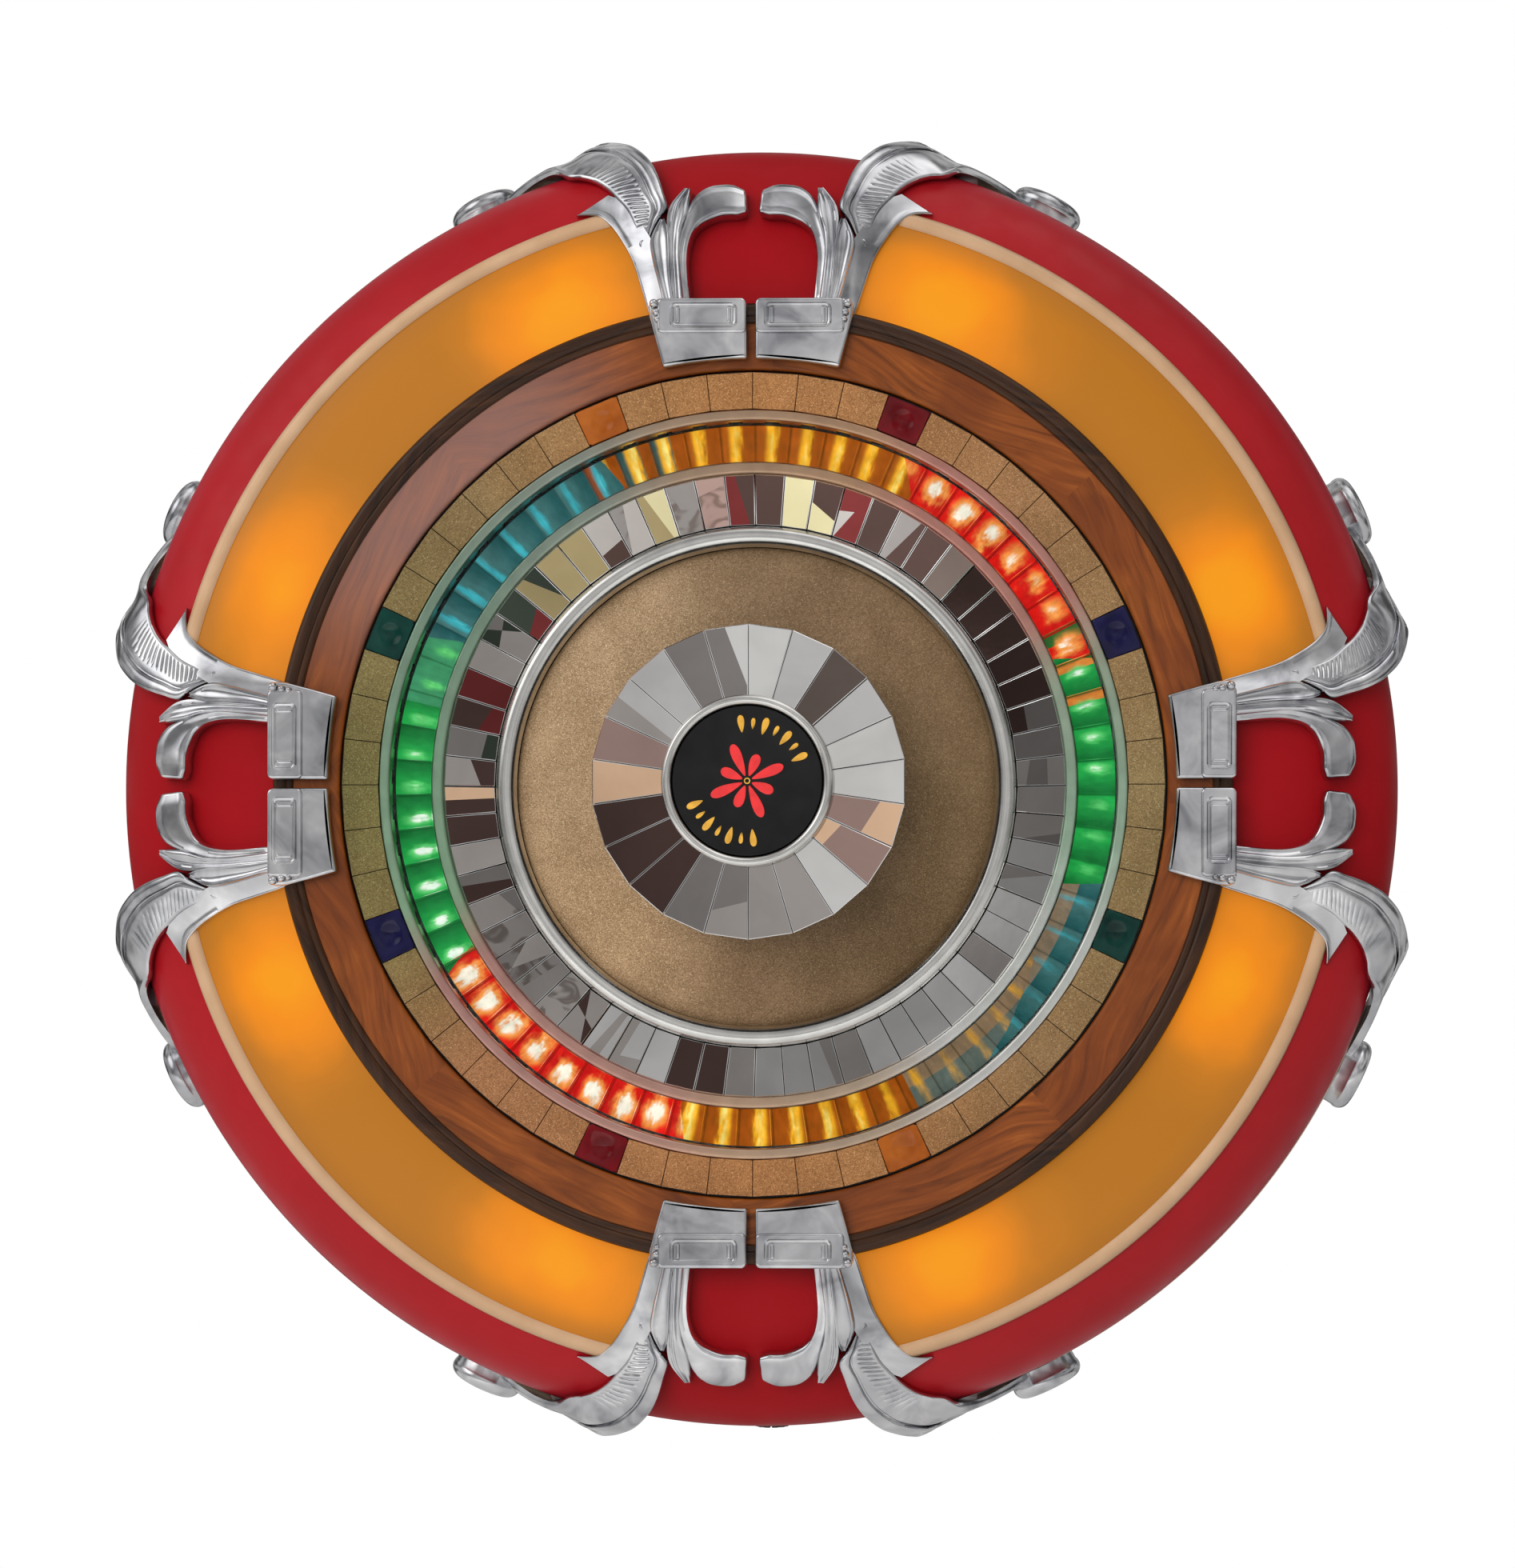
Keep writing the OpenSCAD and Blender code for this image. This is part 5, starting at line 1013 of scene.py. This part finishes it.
finRows = [
    (60.5, 118, 50, 118, 14, 16), (63.8, 109.5, 52, 108, 8.5, 14), (68.4, 95, 55, 92, 6, 11),
    (73.6, 79.5, 58, 78, 5, 10), (80.2, 67, 62, 66, 4.5, 9), (88.2, 55.6, 68, 56, 4.5, 8), (97.4, 48.8, 75, 43, 4.5, 7),
    (109.6, 48.6, 90, 35.5, 4.5, 6)]
# A section goes across a band: the share of its width, and what is added to the height there
armSection = [
    (0, -3.4), (0.01, -1.6), (0.03, -0.5), (0.06, 0), (0.09, 0.1), (0.11, 0.1), (0.2, 0.3), (0.34, 0.4), (0.48, 0.3),
    (0.57, 0.1), (0.59, 0.1), (0.66, 0), (0.69, -0.3), (0.71, -1.9), (0.735, -1.9), (0.755, -0.4), (0.78, 0.3),
    (0.84, 0.5), (0.91, 0.3), (0.96, -0.5), (0.99, -1.6), (1, -2.8)]
ribPoints = (6, 7, 8)  # where the ribs are cut into the arm's section
petalSection = [
    (0, -5), (0.015, -2.4), (0.05, -0.4), (0.11, 0.3), (0.18, 0.2), (0.25, -0.7), (0.36, -1.7), (0.55, -2),
    (0.76, -1.6), (0.88, -0.8), (0.93, 0), (0.96, 0.1), (0.985, -0.8), (1, -3)]
leafSection = [
    (0, -3), (0.03, -1.2), (0.14, -1), (0.2, -1.7), (0.26, -1.7), (0.3, -1), (0.36, -1), (0.4, -1.7), (0.48, -1.6),
    (0.58, -0.9), (0.68, 0), (0.78, 0.5), (0.88, 0.3), (0.95, -0.7), (0.985, -2.2), (1, -5)]
hookSection = [
    (0, -5.5), (0.03, -2.6), (0.08, -1), (0.16, -0.2), (0.3, -0.2), (0.5, -0.8), (0.7, -0.2), (0.84, -0.2), (0.92, -1),
    (0.97, -2.6), (1, -5.5)]
finSection = [
    (0, -3), (0.015, -1.2), (0.04, -0.1), (0.075, 0), (0.12, -0.7), (0.35, -1.1), (0.7, -0.6), (1, 0)]
under = [1, 0.75, 0.5, 0.25, 0]  # the way back along the underside


def facePoint(spot, n):
    y = cabinetR - spot[1]
    share = (hypot(spot[0], y) - woodR) / (panelR + n - woodR)
    return Vector((spot[0], y, rimZ + (panelRise + n) * sqrt(1 - min(1, max(0, share) * abs(share)))))


def sidePoint(spot, n):
    a = radians(spot[0])
    return Vector(((cabinetR + n) * sin(a), (cabinetR + n) * cos(a), rimZ - spot[1]))


def rowPoint(row, share):
    return (midway(row[0], row[2], share), midway(row[1], row[3], share)), midway(row[4], row[5], share)


def section(row, line, point, low):
    made = []
    for share, rise in line:
        spot, high = rowPoint(row, share)
        made.append(point(spot, high + rise))
    return made + [point(rowPoint(row, share)[0], low) for share in under]


def smoothed(rows, steps):  # a smooth curve through every row
    made = []
    for i in range(len(rows) - 1):
        a, b, c, d = (rows[max(0, min(len(rows) - 1, i + k))] for k in (-1, 0, 1, 2))
        for k in range(steps):
            t = k / steps
            made.append([(q * 2 + (r - p) * t + (p * 2 - q * 5 + r * 4 - s) * t * t + (q * 3 - p - r * 3 + s) * t ** 3) / 2
                         for p, q, r, s in zip(a, b, c, d)])
    return made + [rows[-1]]


def domeEnd(loops, size):  # rounds the last end of a band
    last = loops[-1]
    middle = sum(last, Vector()) / len(last)
    ahead = (middle - sum(loops[-3], Vector()) / len(last)).normalized()
    made = []
    for k in range(1, 5):
        t = pi / 8 * k * 0.9
        made.append([])
        for p in last:
            drawnIn = (1 - cos(t)) * min(1, 2 * size / max((p - middle).length, 1e-6))
            made[-1].append(midway(middle, p, 1 - drawnIn) + ahead * size * sin(t))
    return loops + made


def castingShape():
    armLoops = smoothed([section(r, armSection, facePoint, 1.6) for r in armRows]
                        + [section(r, armSection, sidePoint, 3.3 if i < 1 else 6.4) for i, r in enumerate(strapRows)], 28)
    first, last = int(casting.ribFrom * 28), int(casting.ribTo * 28)
    walked = [0.0]
    for i in range(first, last):
        walked.append(walked[-1] + (armLoops[i + 1][5] - armLoops[i][5]).length)
    for i in range(first, last + 1):
        share = walked[i - first] / walked[-1]
        bar = abs(2 * ((share * casting.ribs) % 1) - 1)  # 0 in the middle of a rib, 1 in a groove
        sink = casting.ribDeep * (1 - sqrt(max(0, 1 - bar ** 2.2))) * min(1, share * 8, (1 - share) * 6)
        for j in ribPoints:
            p = armLoops[i][j]
            out = Vector((p.x, p.y - 300, 2 * (p.z - rimZ))).normalized()
            armLoops[i][j] = p - out * sink
    bands = [armLoops]
    for rows, line, low, steps, end in ((petalRows, petalSection, 0.5, 10, 1.2), (leafRows, leafSection, -2.3, 10, 0),
                                        (hookRows, hookSection, -2.3, 8, 1.6), (finRows, finSection, 0.5, 10, 0)):
        loops = smoothed([section(row, line, facePoint, low) for row in rows], steps)
        bands.append(domeEnd(loops, end) if end else loops)
    return bands


def roundBox(x0, y0, x1, y1, corner, inset, top, steps=6):
    r = max(0.15, corner - inset)
    made = []
    for cx, cy, start in ((x1, y1, 0), (x0, y1, 90), (x0, y0, 180), (x1, y0, 270)):
        x = cx + (1, -1)[cx == x1] * (inset + r)
        y = cy + (1, -1)[cy == y1] * (inset + r)
        made += [Vector((*spot, top)) for spot in arc(x, y, r, start, start + 90, steps)]
    return made


def footBands():
    low, ledge, top = casting.footLow, casting.footTop - 1.6, casting.footTop + 0.6
    edge = [(x, form.woodBoreR + 3 - casting.arcR + sqrt(casting.arcR ** 2 - x * x))
            for x in [midway(2.5, 53.2, i / 16) for i in range(17)]]
    outline = rounded([(2.5, 293)] + edge + [(58, 268), (61.5, 281.5), (62, 289.5), (56, 293)],
                      [3.2] + [3] + [0] * 15 + [2.6] + [0, 0, 3, 3], 5)
    stack = [(0, low - ledge), (0, -1.9), (0.25, -0.9), (0.9, -0.25), (1.9, 0), (2.3, 0)]
    bands = [[[Vector((x, y, ledge + rise)) for x, y in insetOutline(outline, inset)] for inset, rise in stack]]
    for x0, y0, x1, y1, corner, steps in (
            (2.8, 271.5, 56.5, 292.8, 3.2, [(0, -2.2), (0, -1.5), (0.25, -0.7), (0.8, -0.15), (1.6, 0), (2.2, 0)]),
            (8, 274.6, 49, 290, 4, [(0, -0.1), (0.3, 0.7), (1.0, 1.3), (1.8, 1.2), (2.5, 0.5), (3.3, -0.5), (4.2, -0.7)]),
            (11.8, 277.6, 14.4, 287, 1.2, [(0, 0), (0.2, 0.7), (0.6, 1.0), (1.1, 1.1)]),
            (42.6, 277.6, 45.2, 287, 1.2, [(0, 0), (0.2, 0.7), (0.6, 1.0), (1.1, 1.1)])):
        bands.append([roundBox(x0, y0, x1, y1, corner, inset, top + rise) for inset, rise in steps])
    for x, y, r in ((58.6, 289.4, 2.7), (57.2, 284.2, 2.2), (56.6, 280, 1.8)):  # the curl where the petal meets the foot
        bands.append([[Vector((x + r * cos(t) * cos(a), y + r * cos(t) * sin(a), top - 0.6 + r * sin(t)))
                       for a in [tau * k / 16 for k in range(16)]] for t in [pi / 2 * 0.97 * n / 5 for n in range(6)]])
    x, y = 66.5, cabinetR - 68.5  # the small eye at the arm's root
    crown = facePoint((x, 68.5), 6).z
    bands.append([[Vector((x + r * cos(a), y + r * sin(a), crown + h)) for a in [tau * k / 20 for k in range(20)]]
                  for r, h in ((3, -4), (3, 0), (2.6, 0.7), (2.0, 0.9), (1.5, 0.6), (1.3, 0), (1.2, -2.5))])
    return bands


def scrollBands():
    r, h = casting.scrollR, casting.scrollH
    line = [(0.5, 0.4), (8, 0.4), (8, 6.3), (r - 1.5, 6.3)] + arc(r - 6.5, h - 6.5, 6.5, -30, 150, 16)
    line += [(r - 12.4, h - 7), (8.4, h - 7.4)] + arc(6, h - 4.4, 1.9, 0, 90, 5) + [(0.5, h - 2.5)]
    loops = []
    frameTurn = Matrix.Rotation(-radians(casting.scrollDeg), 4, "Z") @ Matrix.Translation((0, cabinetR, casting.scrollZ)) \
        @ Matrix.Rotation(-pi / 2, 4, "X")
    for i in range(49):
        a = tau * i / 48
        loops.append([frameTurn @ Vector((q * cos(a), q * sin(a), z)) for q, z in line])
    return loops


oneCasting = castingShape()
footParts = footBands()
scrollPart = scrollBands()
for q, side in enumerate(("top", "right", "bottom", "left")):
    shape = Shape()
    for hand in (1, -1):
        spin = turned(-90 * q) @ Matrix.Diagonal((hand, 1, 1, 1))
        for loops in oneCasting + footParts:
            shape.loft(loops, spin)
        shape.loft(scrollPart, spin, capped=False)
    makePiece("castings" + side.capitalize(), "polishedCasting", shape, sharp=42)
print("castings made")


# What the frame keeps as it is gets its finish
for node, finish in nodeFinishes.items():
    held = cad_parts[node]
    held.data.materials.clear()
    held.data.materials.append(finishes[finish])
print("frame finished:", len(nodeFinishes))
